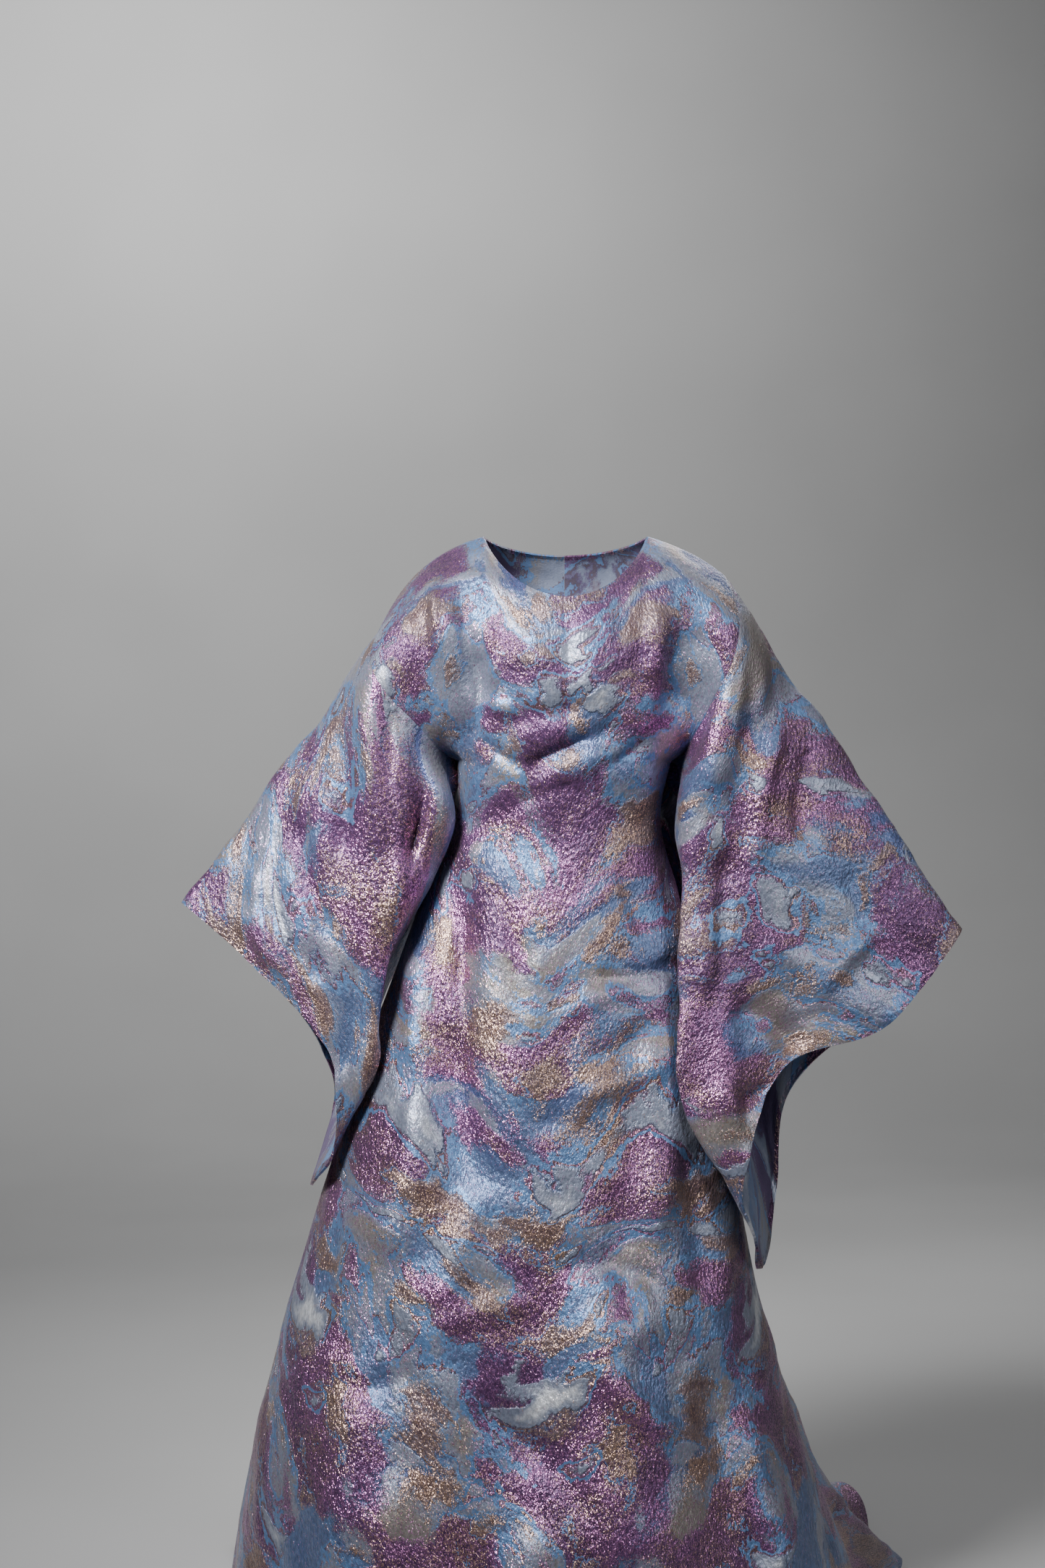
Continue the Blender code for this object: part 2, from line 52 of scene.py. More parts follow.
# Mesh density. Extra lines lie close to the sewn and turned edges.
RING_COLUMNS = 180
YOKE_ROWS = 72
SKIRT_ROWS = 160
SLEEVE_ROWS = 108
CLOSE_ANGLES = (0.004, 0.010, 0.020)  # radians of a ring
CLOSE_SHARES = (0.004, 0.010, 0.020)  # share of the yoke's or a sleeve loop's length
CLOSE_DEPTHS = (0.002, 0.005, 0.009)
CLOSE_REACHES = (0.002, 0.006, 0.012)

# Neck opening
NECK_X = -0.008
NECK_HALF_WIDTH = 0.105
NECK_SIDE_Z = -0.002
NECK_FRONT = (-0.105, 0.085)  # y at its middle, and how far it drops there
NECK_BACK = (0.075, 0.018)

# Shoulder line: armhole point and the bend between it and the neck, for each side
RIGHT_SHOULDER_TIP = (-0.243, 0.000, -0.119)
RIGHT_SHOULDER_BEND = (-0.210, 0.000, -0.030)
LEFT_SHOULDER_TIP = (0.200, 0.000, -0.056)
LEFT_SHOULDER_BEND = (0.165, 0.000, -0.022)

# Level rings of the body, from the underarm to the hem. Each names the side seams' places, then
# how far the front and the back stand out, the height at their centres, and how square they are.
Ring = namedtuple("Ring", "z_seam x_right x_left y_seam y_front z_front square_front "
                          "y_back z_back square_back spread_right spread_left")
RINGS = [Ring(*row) for row in (
    (-0.290, -0.146, 0.126, 0.005, -0.122, -0.290, 0.10, 0.108, -0.290, 0.05, 0.10, 0.10),
    (-0.360, -0.146, 0.113, 0.002, -0.110, -0.360, 0.08, 0.116, -0.363, 0.05, 0.15, 0.25),
    (-0.460, -0.188, 0.136, 0.000, -0.122, -0.460, 0.08, 0.136, -0.470, 0.05, 0.05, 0.10),
    (-0.610, -0.243, 0.168, 0.000, -0.147, -0.610, 0.08, 0.172, -0.637, 0.05, 0.00, 0.00),
    (-0.800, -0.306, 0.206, 0.008, -0.178, -0.800, 0.08, 0.236, -0.855, 0.05, 0.00, 0.02),
    (-0.970, -0.358, 0.239, 0.018, -0.212, -0.968, 0.08, 0.318, -1.055, 0.05, 0.00, 0.06),
    (-1.130, -0.400, 0.285, 0.030, -0.248, -1.126, 0.08, 0.415, -1.250, 0.06, 0.02, 0.16),
    (-1.240, -0.424, 0.324, 0.042, -0.274, -1.236, 0.08, 0.500, -1.395, 0.08, 0.06, 0.36),
    (-1.320, -0.438, 0.356, 0.053, -0.292, -1.316, 0.08, 0.600, -1.467, 0.10, 0.22, 0.66),
    (-1.400, -0.450, 0.386, 0.066, -0.308, -1.395, 0.08, 0.725, -1.469, 0.12, 0.48, 0.96),
    (-1.469, -0.460, 0.412, 0.080, -0.322, -1.464, 0.08, 0.850, -1.469, 0.12, 0.70, 1.20),
)]
SEAM_BLEND = 1.5  # how slowly a ring's height leaves that of its side seams

# How the cloth leaves the shoulder line: place along it from the armhole to the neck's centre,
# and the pull outwards, away from the shoulder line and down.
Pull = namedtuple("Pull", "place out away down")
FRONT_PULLS = ((0.0, 0.11, 0.45, 0.22), (0.17, 0.00, 0.42, 0.12), (0.33, 0.00, 0.36, 0.12),
               (0.50, 0.00, 0.06, 0.19))
BACK_PULLS = ((0.0, 0.11, 0.42, 0.20), (0.17, 0.00, 0.38, 0.10), (0.33, 0.00, 0.32, 0.12),
              (0.50, 0.00, 0.12, 0.17))
UNDERARM_PULL = Pull(0.0, 0.19, 0.25, 0.135)  # how both armhole edges arrive at the underarm
UNDERARM_REACH = 0.50  # radians of the ring that follow the armhole
YOKE_LENGTH = 0.25
SLOPE_STEP = 0.002  # the body's slope is measured over this depth

# Sleeve sections from near the armhole to the cuff. Each gives how far out it lies, and the points
# of its loop: overarm fold, front of the arm, two of the hanging front, its lowest part, underarm
# seam, and then behind, upwards: lowest part, hanging back, back of the arm.
LEFT_SECTIONS = (
    (0.1, (0.231, 0.000, -0.103), (0.228, -0.07, -0.165), (0.2, -0.096, -0.235),
     (0.15, -0.088, -0.305), (0.133, -0.05, -0.345), (0.148, 0.008, -0.346),
     (0.108, 0.089, -0.348), (0.162, 0.108, -0.288), (0.228, 0.08, -0.185)),
    (0.25, (0.274, 0.000, -0.17), (0.236, -0.072, -0.245), (0.184, -0.098, -0.335),
     (0.134, -0.084, -0.415), (0.14, -0.038, -0.448), (0.152, 0.01, -0.458),
     (0.112, 0.094, -0.445), (0.16, 0.12, -0.36), (0.24, 0.075, -0.25)),
    (0.5, (0.352, -0.003, -0.281), (0.292, -0.062, -0.37), (0.215, -0.092, -0.475),
     (0.13, -0.112, -0.575), (0.176, -0.06, -0.615), (0.192, 0.01, -0.622),
     (0.172, 0.11, -0.612), (0.215, 0.125, -0.51), (0.3, 0.065, -0.38)),
    (0.75, (0.427, -0.006, -0.395), (0.345, -0.058, -0.5), (0.245, -0.092, -0.59),
     (0.133, -0.138, -0.71), (0.204, -0.085, -0.775), (0.227, 0.012, -0.792),
     (0.224, 0.115, -0.77), (0.254, 0.122, -0.65), (0.35, 0.058, -0.505)),
    (1.00, (0.501, -0.01, -0.505), (0.395, -0.055, -0.627), (0.268, -0.1, -0.672),
     (0.209, -0.135, -0.815), (0.228, -0.1, -0.885), (0.247, 0.015, -0.944),
     (0.274, 0.098, -0.862), (0.29, 0.108, -0.732), (0.395, 0.05, -0.618)),
)
RIGHT_SECTIONS = (
    (0.1, (-0.266, 0.000, -0.152), (-0.272, -0.07, -0.205), (-0.24, -0.094, -0.262),
     (-0.17, -0.094, -0.31), (-0.145, -0.058, -0.346), (-0.16, 0.006, -0.344),
     (-0.14, 0.082, -0.338), (-0.192, 0.106, -0.288), (-0.268, 0.082, -0.215)),
    (0.25, (-0.3, 0.000, -0.205), (-0.285, -0.07, -0.265), (-0.245, -0.095, -0.335),
     (-0.186, -0.096, -0.4), (-0.172, -0.058, -0.434), (-0.188, 0.01, -0.438),
     (-0.16, 0.096, -0.425), (-0.208, 0.118, -0.35), (-0.285, 0.072, -0.265)),
    (0.5, (-0.367, -0.003, -0.29), (-0.335, -0.062, -0.375), (-0.28, -0.095, -0.46),
     (-0.231, -0.1, -0.53), (-0.238, -0.055, -0.56), (-0.25, 0.012, -0.566),
     (-0.232, 0.105, -0.556), (-0.265, 0.12, -0.48), (-0.335, 0.062, -0.38)),
    (0.75, (-0.433, -0.006, -0.382), (-0.385, -0.058, -0.47), (-0.3, -0.095, -0.575),
     (-0.248, -0.105, -0.665), (-0.272, -0.06, -0.695), (-0.293, 0.014, -0.702),
     (-0.285, 0.105, -0.69), (-0.31, 0.112, -0.6), (-0.385, 0.055, -0.472)),
    (1.00, (-0.499, -0.01, -0.473), (-0.395, -0.055, -0.556), (-0.305, -0.09, -0.655),
     (-0.297, -0.088, -0.76), (-0.308, -0.07, -0.8), (-0.336, 0.018, -0.838),
     (-0.326, 0.085, -0.806), (-0.314, 0.098, -0.71), (-0.4, 0.05, -0.562)),
)
LOOP_STEPS, FINE_LOOP_STEPS = 160, 400  # each half loop is drawn twice, the second time finer
KNOT_POWER = 0.5  # its knots are as far apart as this power of the chords

# Folds and creases, seen from the front. Each row gives both ends in x and z, the sideways bow of
# the line between them, the fold's half-width, and its height. A negative height is a trough.
FRONT_FOLDS = [
    (-0.068, -0.318, 0.066, -0.246, 0.006, 0.016, -0.008),  # drag under the bust
    (-0.05, -0.335, 0.04, -0.285, 0.006, 0.02, 0.005),
    (-0.095, -0.248, 0.035, -0.226, 0.004, 0.015, -0.005),
    (0.152, -0.085, 0.142, -0.24, 0.000, 0.022, -0.016),  # hollow before the left armpit
    (0.184, -0.08, 0.19, -0.2, 0.006, 0.014, 0.009),
    (-0.16, -0.075, -0.152, -0.262, 0.004, 0.016, 0.012),  # roll from the right shoulder
    (-0.192, -0.095, -0.18, -0.25, 0.003, 0.016, -0.01),
    (-0.128, -0.1, -0.118, -0.26, 0.003, 0.018, -0.007),
    (-0.14, -0.4, -0.128, -0.8, -0.02, 0.03, -0.014),  # long trough beside the hip
    (-0.182, -0.7, -0.245, -0.9, 0.01, 0.034, 0.013),  # ridge on the right thigh
    (0.015, -0.66, 0.108, -0.61, -0.01, 0.02, -0.008),  # drag below the hip
    (0.108, -0.6, 0.088, -0.9, 0.01, 0.026, 0.011),  # ridge on the left thigh
    (-0.03, -0.84, -0.2, -1.5, 0.03, 0.055, -0.018),  # soft diagonals of the skirt
    (0.04, -0.88, 0.13, -1.5, -0.02, 0.055, 0.018),
    (0.17, -1.000, 0.25, -1.5, -0.01, 0.045, -0.014),
    (-0.255, -1.02, -0.33, -1.5, 0.01, 0.042, 0.018),
    (-0.142, -0.38, -0.116, -0.88, -0.022, 0.034, -0.013),
    (-0.192, -0.52, -0.222, -0.78, 0.004, 0.018, 0.008),
    (0.078, -0.64, 0.062, -0.92, 0.006, 0.022, -0.008),
    (0.158, -0.12, 0.15, -0.25, 0.000, 0.02, -0.015),
    (-0.12, -0.15, -0.134, -0.275, 0.004, 0.014, -0.011),
    (-0.176, -0.1, -0.163, -0.25, 0.003, 0.012, 0.007),
    (-0.062, -0.3, 0.03, -0.262, 0.003, 0.007, -0.0056),  # drags under the bust
    (-0.085, -0.352, 0.01, -0.318, 0.004, 0.009, -0.0048),
    (0.03, -0.305, 0.098, -0.262, -0.004, 0.008, -0.0045),
    (-0.118, -0.262, -0.06, -0.3, -0.004, 0.008, -0.0064),
    (-0.125, -0.225, -0.07, -0.232, 0.005, 0.01, 0.0048),
    (0.128, -0.13, 0.112, -0.262, 0.004, 0.01, -0.0096),
    (0.168, -0.075, 0.168, -0.15, 0.003, 0.009, -0.0064),
    (0.108, -0.1, 0.098, -0.19, 0.003, 0.012, 0.0056),
    (-0.175, -0.07, -0.17, -0.19, 0.002, 0.008, 0.0072),
    (-0.14, -0.085, -0.134, -0.215, 0.002, 0.008, -0.0072),
    (-0.21, -0.105, -0.2, -0.18, 0.004, 0.008, 0.0064),
    (-0.105, -0.12, -0.1, -0.2, 0.003, 0.011, 0.0048),
    (-0.105, -0.44, -0.06, -0.56, 0.006, 0.014, -0.0048),  # waist and hip
    (-0.165, -0.48, -0.15, -0.64, -0.006, 0.012, 0.0072),
    (0.06, -0.42, 0.1, -0.52, -0.006, 0.012, -0.0048),
    (0.02, -0.56, 0.13, -0.545, -0.006, 0.01, -0.0054),
    (-0.02, -0.61, 0.07, -0.575, 0.006, 0.012, 0.0048),
    (0.000, -0.7, 0.112, -0.665, -0.008, 0.012, 0.0056),
    (-0.06, -0.735, 0.03, -0.745, 0.006, 0.015, -0.0042),
    (-0.205, -0.64, -0.225, -0.78, 0.004, 0.014, -0.0072),
    (-0.12, -0.8, -0.165, -0.96, 0.008, 0.02, 0.008),
    (-0.29, -0.8, -0.33, -0.99, 0.006, 0.016, -0.008),
    (0.13, -0.76, 0.165, -0.96, 0.008, 0.017, -0.0096),
    (0.05, -0.8, 0.065, -0.98, -0.006, 0.018, -0.0064),
    (-0.02, -0.905, 0.105, -0.93, 0.012, 0.015, -0.0064),  # soft diagonals at the knee
    (-0.18, -0.985, -0.04, -0.945, 0.01, 0.017, 0.0064),
    (-0.29, -1.06, -0.19, -1.02, -0.008, 0.015, -0.0058),
    (0.02, -1.01, 0.165, -1.13, -0.012, 0.019, 0.0096),
    (-0.13, -1.06, 0.02, -1.19, 0.014, 0.018, -0.008),
    (-0.21, -1.13, -0.26, -1.44, 0.01, 0.024, 0.0112),
    (0.2, -1.08, 0.265, -1.3, 0.006, 0.019, 0.0104),
    (-0.05, -1.18, -0.075, -1.44, -0.01, 0.026, 0.0112),
    (0.055, -1.23, 0.065, -1.46, 0.008, 0.022, -0.0104),
    (-0.37, -1.2, -0.395, -1.44, 0.006, 0.02, -0.0096),
]
RIGHT_SLEEVE_FOLDS = [
    (-0.19, -0.265, -0.206, -0.43, 0.004, 0.015, -0.016),  # trough beside the underarm roll
    (-0.262, -0.17, -0.25, -0.42, 0.01, 0.022, 0.009),  # roll hanging from the shoulder
    (-0.33, -0.3, -0.345, -0.54, 0.01, 0.028, 0.008),
    (-0.168, -0.275, -0.203, -0.42, 0.002, 0.01, -0.012),
    (-0.238, -0.19, -0.228, -0.33, 0.004, 0.009, -0.0067),
    (-0.29, -0.235, -0.292, -0.42, 0.006, 0.012, -0.006),
    (-0.212, -0.33, -0.228, -0.52, 0.005, 0.011, 0.0075),
    (-0.345, -0.36, -0.3, -0.52, -0.01, 0.015, -0.0067),
    (-0.4, -0.42, -0.37, -0.56, -0.01, 0.013, 0.006),
    (-0.27, -0.52, -0.29, -0.69, 0.006, 0.013, -0.0083),
    (-0.32, -0.56, -0.305, -0.65, -0.004, 0.01, 0.006),
    (-0.44, -0.47, -0.33, -0.6, 0.012, 0.018, 0.0075),
]
LEFT_SLEEVE_FOLDS = [
    (0.214, -0.12, 0.172, -0.34, -0.01, 0.02, 0.011),  # roll beside the armhole
    (0.24, -0.19, 0.205, -0.47, -0.012, 0.022, -0.009),
    (0.3, -0.56, 0.215, -0.72, 0.02, 0.026, -0.01),  # sag between wrist and body
    (0.165, -0.48, 0.19, -0.78, 0.006, 0.022, 0.01),
    (0.196, -0.15, 0.16, -0.3, -0.006, 0.009, -0.0075),
    (0.236, -0.13, 0.232, -0.24, 0.004, 0.009, 0.006),
    (0.262, -0.24, 0.23, -0.44, -0.008, 0.012, 0.0067),
    (0.3, -0.27, 0.29, -0.4, -0.004, 0.012, -0.006),
    (0.19, -0.4, 0.17, -0.62, 0.006, 0.012, -0.0083),
    (0.225, -0.52, 0.32, -0.58, 0.01, 0.016, 0.0067),  # pulls towards the wrist
    (0.19, -0.6, 0.29, -0.655, 0.014, 0.014, -0.009),
    (0.35, -0.42, 0.4, -0.54, -0.006, 0.014, -0.0054),
    (0.175, -0.69, 0.215, -0.8, 0.004, 0.012, 0.0075),
    (0.4, -0.5, 0.3, -0.6, -0.012, 0.016, 0.0075),
    (0.205, -0.72, 0.25, -0.7, 0.004, 0.01, -0.006),
]
BACK_FOLDS = [
    (-0.12, -0.15, -0.04, -0.25, -0.008, 0.011, -0.0067),  # between the shoulder blades
    (0.095, -0.12, 0.045, -0.23, 0.008, 0.01, -0.006),
    (-0.175, -0.11, -0.165, -0.23, 0.003, 0.011, 0.0075),
    (0.15, -0.09, 0.14, -0.21, 0.003, 0.01, 0.0067),
    (-0.09, -0.33, 0.02, -0.3, 0.006, 0.009, -0.006),
    (-0.01, -0.38, 0.08, -0.335, -0.005, 0.01, -0.0053),
    (-0.1, -0.42, -0.02, -0.44, 0.006, 0.013, 0.0053),
    (-0.16, -0.48, -0.12, -0.69, 0.006, 0.016, -0.009),
    (0.095, -0.52, 0.105, -0.72, -0.006, 0.016, -0.0083),
    (-0.05, -0.56, -0.08, -0.8, 0.01, 0.018, 0.009),
    (0.04, -0.64, 0.075, -0.9, -0.01, 0.019, 0.009),
    (-0.21, -0.7, -0.26, -0.96, 0.008, 0.02, 0.009),
    (-0.14, -0.82, -0.09, -0.99, 0.01, 0.02, -0.0083),
    (0.13, -0.86, 0.2, -1.08, 0.008, 0.02, -0.009),
    (-0.3, -0.98, -0.33, -1.2, 0.008, 0.022, -0.0105),
    (0.000, -0.95, 0.02, -1.15, 0.01, 0.022, -0.009),
    (0.22, -1.05, 0.28, -1.3, 0.008, 0.02, 0.009),
    (-0.2, -1.1, -0.15, -1.3, -0.012, 0.024, 0.0105),
]
REAR_SLEEVE_FOLDS = [  # of the left sleeve, which the right one mirrors
    (0.215, -0.15, 0.185, -0.32, -0.006, 0.012, 0.0084),
    (0.255, -0.22, 0.225, -0.42, -0.008, 0.013, -0.007),
    (0.3, -0.3, 0.28, -0.46, 0.006, 0.014, 0.0063),
    (0.205, -0.42, 0.225, -0.64, 0.008, 0.014, -0.0077),
    (0.33, -0.44, 0.27, -0.56, 0.01, 0.016, 0.007),
    (0.25, -0.62, 0.255, -0.8, -0.006, 0.014, 0.007),
    (0.4, -0.48, 0.32, -0.59, -0.01, 0.015, -0.0063),
]
FOLD_END = 0.08  # share of a fold's length where it dies out
FOLD_FADE = 25  # how sharply it does
FACING_GAIN = 3  # how quickly front folds give way to back folds round the sides

# Flutes of the back, which open towards the train: their place round the back from the left
# side seam, in degrees, the seam height where they start, half-width in degrees and height
BACK_FLUTES = (
    (22.5, -0.62, 8.0, 0.042),
    (37.5, -0.5, 7.5, -0.026),
    (52.5, -0.36, 8.5, 0.046),
    (67.5, -0.55, 7.5, -0.02),
    (82.5, -0.42, 8.0, 0.032),
    (97.5, -0.36, 8.0, -0.028),
    (112.5, -0.48, 8.0, 0.044),
    (127.5, -0.6, 7.5, -0.024),
    (142.5, -0.52, 8.5, 0.04),
    (157.5, -0.66, 8.0, -0.018),
)
FLUTE_GROWTH = 0.80  # length over which a flute reaches its height
EDGE_CALM = 0.030  # folds fade out over this distance from a seam
SEWN_EDGES = ("first_column", "last_column", "first_row")  # of each piece's grid

# Waviness of the cloth in the hand: how wide the waves are, and how high
CLOTH_WAVES = ((0.120, 0.0060), (0.050, 0.0034), (0.022, 0.0013))
EDGE_WAVES = (0.060, 0.0040)
EDGE_WAVES_REACH = 0.050  # the edge waves die out over this distance from a free edge

# Sewing
CUFF_TURNING = 0.014
HEM_TURNING = 0.022
NECK_TURNING = 0.008
TURNING_STEP = 0.0006  # a turned edge is this much thicker
TURNING_SLOPE = 0.006
STITCH_DIP = 0.0006
STITCH_DIP_WIDTH = 0.004
SEAM_DIP = 0.0004
SEAM_DIP_WIDTH = 0.0035
SEAM_PUFF = 0.0004  # the cloth swells beside a seam, over its turnings
SEAM_PUFF_PLACE = 0.009
SEAM_PUFF_SHARPNESS = 1.6
STITCH_LENGTH = 0.0030
STITCH_PITCH = 0.0043
THREAD_RADIUS = 0.00022
STITCH_SIDES = 6
STITCH_RINGS = ((0.0, 0.35), (0.2, 0.9), (0.5, 1.0), (0.8, 0.9), (1.0, 0.35))  # place, size
SHARP_ANGLE = np.radians(60)
PUCKER_PITCH, PUCKER_SHARE = 0.017, 0.4
PUCKER_SHIFT, PUCKER_SHIFT_RATE = 3, 23  # radians, and radians to the metre

# The cloth runs softly over the armhole seams and below the neck's corners: how softly it turns
# there, and how far the rounding reaches. Along them it grows and dies out, over shares of the
# armhole's half from the underarm up, and over depths below the neck.
ARMHOLE_ROUNDING = (0.042, 0.105)
ARMHOLE_RISE, ARMHOLE_FALL = (0.02, 0.25), (0.80, 1.0)
NECK_ROUNDING = (0.014, 0.045)
NECK_RISE, NECK_FALL = (0.0, 0.012), (0.1, 0.240)
KERNEL_SPAN, KERNEL_STEPS = 2.5, 21  # of the weights that soften a line
ROUNDED_LINES = 60  # grid lines on each side of an armhole that take part

# Behind each underarm the sleeve hangs nearer the body and lower: by how much, where, and how far
# round. It fades out towards the armhole.
LEFT_SAG = (0.026, 0.000, 0.032)
RIGHT_SAG = (-0.012, 0.000, 0.030)
SAG_DEPTH, SAG_HEIGHT = 0.045, -0.302
SAG_REACH, SAG_FADE = 0.042, 0.020

# Brocade: the repeat across the loom width, and the flat angles of a sleeve's two edges
REPEAT_WIDTH = 0.340
OVERARM_ANGLE = np.radians(56)
HANG_ANGLE = np.radians(61)

# Where on the bolt each piece is cut, across and down, then the flat cut: its width across the
# grain, its length along it, and its area
CUTS = {
    "front_panel": (0.16, 0.43, 1.35, 1.50, 1.12),
    "back_left_panel": (0.21, 2.30, 1.20, 1.84, 0.85),
    "back_right_panel": (0.03, 4.70, 1.12, 1.84, 0.80),
    "left_sleeve": (0.15, 7.10, 1.29, 0.60, 0.50),
    "right_sleeve": (0.29, 8.90, 1.05, 0.52, 0.36),
}

# Colours of the yarns, as seen on screen
YARNS = {
    "dusty_blue": (0.35, 0.42, 0.57),
    "edge_blue": (0.37, 0.50, 0.68),
    "periwinkle": (0.29, 0.34, 0.52),
    "plum": (0.36, 0.24, 0.40),
    "deep_plum": (0.30, 0.20, 0.34),
    "brown": (0.36, 0.28, 0.31),
    "champagne": (0.45, 0.39, 0.42),
    "silver_blue": (0.50, 0.53, 0.61),
    "white_satin": (0.85, 0.86, 0.88),
    "taupe": (0.53, 0.51, 0.50),
    "wrong_side": (0.33, 0.38, 0.50),
    "foil_pink": (1.00, 0.68, 0.94),
    "foil_gold": (1.00, 0.82, 0.70),
    "sewing_thread": (0.44, 0.54, 0.68),
}

# The ground changes its yarn slowly along this scale. foil is the share of glitter there, and relief is
# how strongly the cloth crinkles and how much painted shade its crinkle troughs take.
Band = namedtuple("Band", "place yarn foil relief")
GROUND_BANDS = [Band(*row) for row in (
    (0.34, "periwinkle", 0.06, 0.80),
    (0.44, "dusty_blue", 0.10, 0.75),
    (0.52, "dusty_blue", 0.14, 0.65),
    (0.57, "silver_blue", 0.30, 0.35),
    (0.66, "silver_blue", 0.36, 0.30),
)]

# What lies on the ground, from the lowest to the uppermost. A cloud shows where its noise is above
# level. rough is how ragged its border is, scatter how far its single flecks stray over the border,
# and shift moves its noise away from the others'.
Cloud = namedtuple("Cloud", "name shift scale level soft rough scatter yarn core foil relief")
CLOUDS = [Cloud(*row) for row in (
    ("silver", (5.1, 0.7, 9.3), 8.0, 0.535, 0.014, 0.06, 0.02, "silver_blue", "taupe", 0.34, 0.25),
    ("plum", (0.0, 0.0, 0.0), 8.0, 0.500, 0.014, 0.10, 0.05, "plum", "deep_plum", 0.72, 1.00),
    ("gold", (2.7, 8.1, 4.9), 12.0, 0.610, 0.018, 0.12, 0.06, "champagne", "brown", 0.80, 0.80),
    ("satin", (7.9, 3.3, 1.7), 9.0, 0.650, 0.014, 0.04, 0.01, "silver_blue", "white_satin", 0.05, 0.30),
)]
# Narrow bands that run along a cloud's border, in noise values
Rim = namedtuple("Rim", "cloud centre width yarn foil relief")
RIMS = [Rim(*row) for row in (
    ("silver", 0.502, 0.016, "edge_blue", 0.05, 0.50),
    ("silver", 0.521, 0.006, "brown", 0.95, 0.60),
    ("gold", 0.576, 0.008, "edge_blue", 0.05, 0.50),
    ("plum", 0.472, 0.018, "edge_blue", 0.06, 0.50),
    ("plum", 0.491, 0.006, "brown", 0.8, 0.60),
    ("satin", 0.616, 0.013, "edge_blue", 0.05, 0.50),
    ("satin", 0.634, 0.008, "brown", 1.0, 0.60),
)]
WARPS = ((5.0, 1.0, 0.095), (26.0, 3.0, 0.022))  # what twists the marbling: scale, detail, metres
DOWN_SQUEEZE = 1.2  # the clouds are this much longer across the cloth than down
TONE_SHIFT = (3.7, 1.9, 5.3)
GLEAM_SHIFT = (6.1, 4.3, 0.9)
MID_GREY = (0.5, 0.5, 0.5)

# Grain of the weave: how many to the metre, across and down
RAGGED_GRAIN = (240.0, 150.0, 1.0)
FLECK_GRAIN = (1 / 0.0007, 1 / 0.0013, 1.0)
CRINKLE_GRAIN = (1 / 0.0044, 1 / 0.0080, 1.0)
FLOAT_GRAIN = (260.0, 1400.0, 1.0)
CRINKLE_HEIGHT = 0.0025
PEBBLE_HEIGHT = 0.0009
PUFF_HEIGHT = 0.0018
FLOAT_HEIGHT = 0.0004
DIMPLE_HEIGHT = 0.0005
OBJECT_PLACE = 3  # output of the coordinates node

# Camera, at the photograph's viewing angle
CAMERA_PLACE = (-0.063, -3.200, -0.320)
CAMERA_LENS = 57.1
SENSOR = 36.0

# Studio: floor that curves up into a round wall, and soft lights
STUDIO_RADIUS = 7.0
STUDIO_SWEEP = 2.5
STUDIO_HEIGHT = 7.0
STUDIO_GREY = 0.46
STUDIO_STEPS, STUDIO_TURNS = 12, 72
AIR_COLOUR, AIR_STRENGTH = (0.80, 0.83, 0.87, 1.0), 0.09
Lamp = namedtuple("Lamp", "name place aim width height spread watts")
LAMPS = [Lamp(*row) for row in (
    ("key_light", (-1.3, -2.0, 1.5), (-0.38, 0.0, -0.02), 0.9, 0.9, 60, 30.0),
    ("fill_light", (3.0, -2.4, 1.0), (0.35, 0.0, -0.25), 1.2, 1.6, 75, 8.0),
    ("top_light", (0.2, -0.4, 3.4), (0.0, 0.0, -0.5), 2.6, 2.0, 120, 6.0),
    ("back_light", (1.2, 4.2, 2.4), (0.0, 0.3, -0.8), 2.4, 2.0, 120, 26.0),
    ("wall_light", (-1.0, 4.2, 2.8), (-1.6, 6.8, 1.7), 1.0, 1.0, 170, 120.0),
)]


def hermite(t, start, start_slope, end, end_slope, width=1):
    """Points at t, from 0 to 1, of the curve with these ends and slopes over the given width."""
    return ((2 * t**3 - 3 * t**2 + 1) * start + (t**3 - 2 * t**2 + t) * width * start_slope
            + (3 * t**2 - 2 * t**3) * end + (t**3 - t**2) * width * end_slope)


def smooth_rows(knots, values, at):
    """Values on the smooth curve through the rows (knots rise), at the given places."""
    knots, values = np.array(knots), np.array(values)
    shape = (-1,) + (1,) * (values.ndim - 1)
    steps = np.diff(knots)
    slopes = np.diff(values, axis=0) / steps.reshape(shape)
    ahead = (steps[:-1] / (steps[:-1] + steps[1:])).reshape(shape)
    between = slopes[1:] * ahead + slopes[:-1] * (1 - ahead)
    tangents = np.concatenate([slopes[:1], between, slopes[-1:]])
    at = np.clip(at, knots[0], knots[-1])
    cell = np.clip(np.searchsorted(knots, at, side="right") - 1, 0, len(knots) - 2)
    t = ((at - knots[cell]) / steps[cell]).reshape(shape)
    return hermite(t, values[cell], tangents[cell], values[cell + 1], tangents[cell + 1],
                   steps[cell].reshape(shape))


def smooth_step(x, low, high):
    t = np.clip((x - low) / (high - low), 0, 1)
    return t * t * (3 - 2 * t)


def swell(x, rise, fall):
    """Grows from nothing to one over the first range, and back to nothing over the second."""
    return smooth_step(x, *rise) * (1 - smooth_step(x, *fall))


def unit(vectors):
    return vectors / np.maximum(np.linalg.norm(vectors, axis=-1, keepdims=True), 1e-12)


def run_along(points, power=1):
    """How far along a line, or along a grid's columns, each of its points lies."""
    chords = np.linalg.norm(np.diff(points, axis=0), axis=-1)
    return np.concatenate([np.zeros_like(chords[:1]), np.cumsum(chords**power, axis=0)])


def points_at(places, run, line):
    """The points at these places of a line whose own points lie at run."""
    return np.stack([np.interp(places, run, line[:, k]) for k in range(3)], axis=-1)


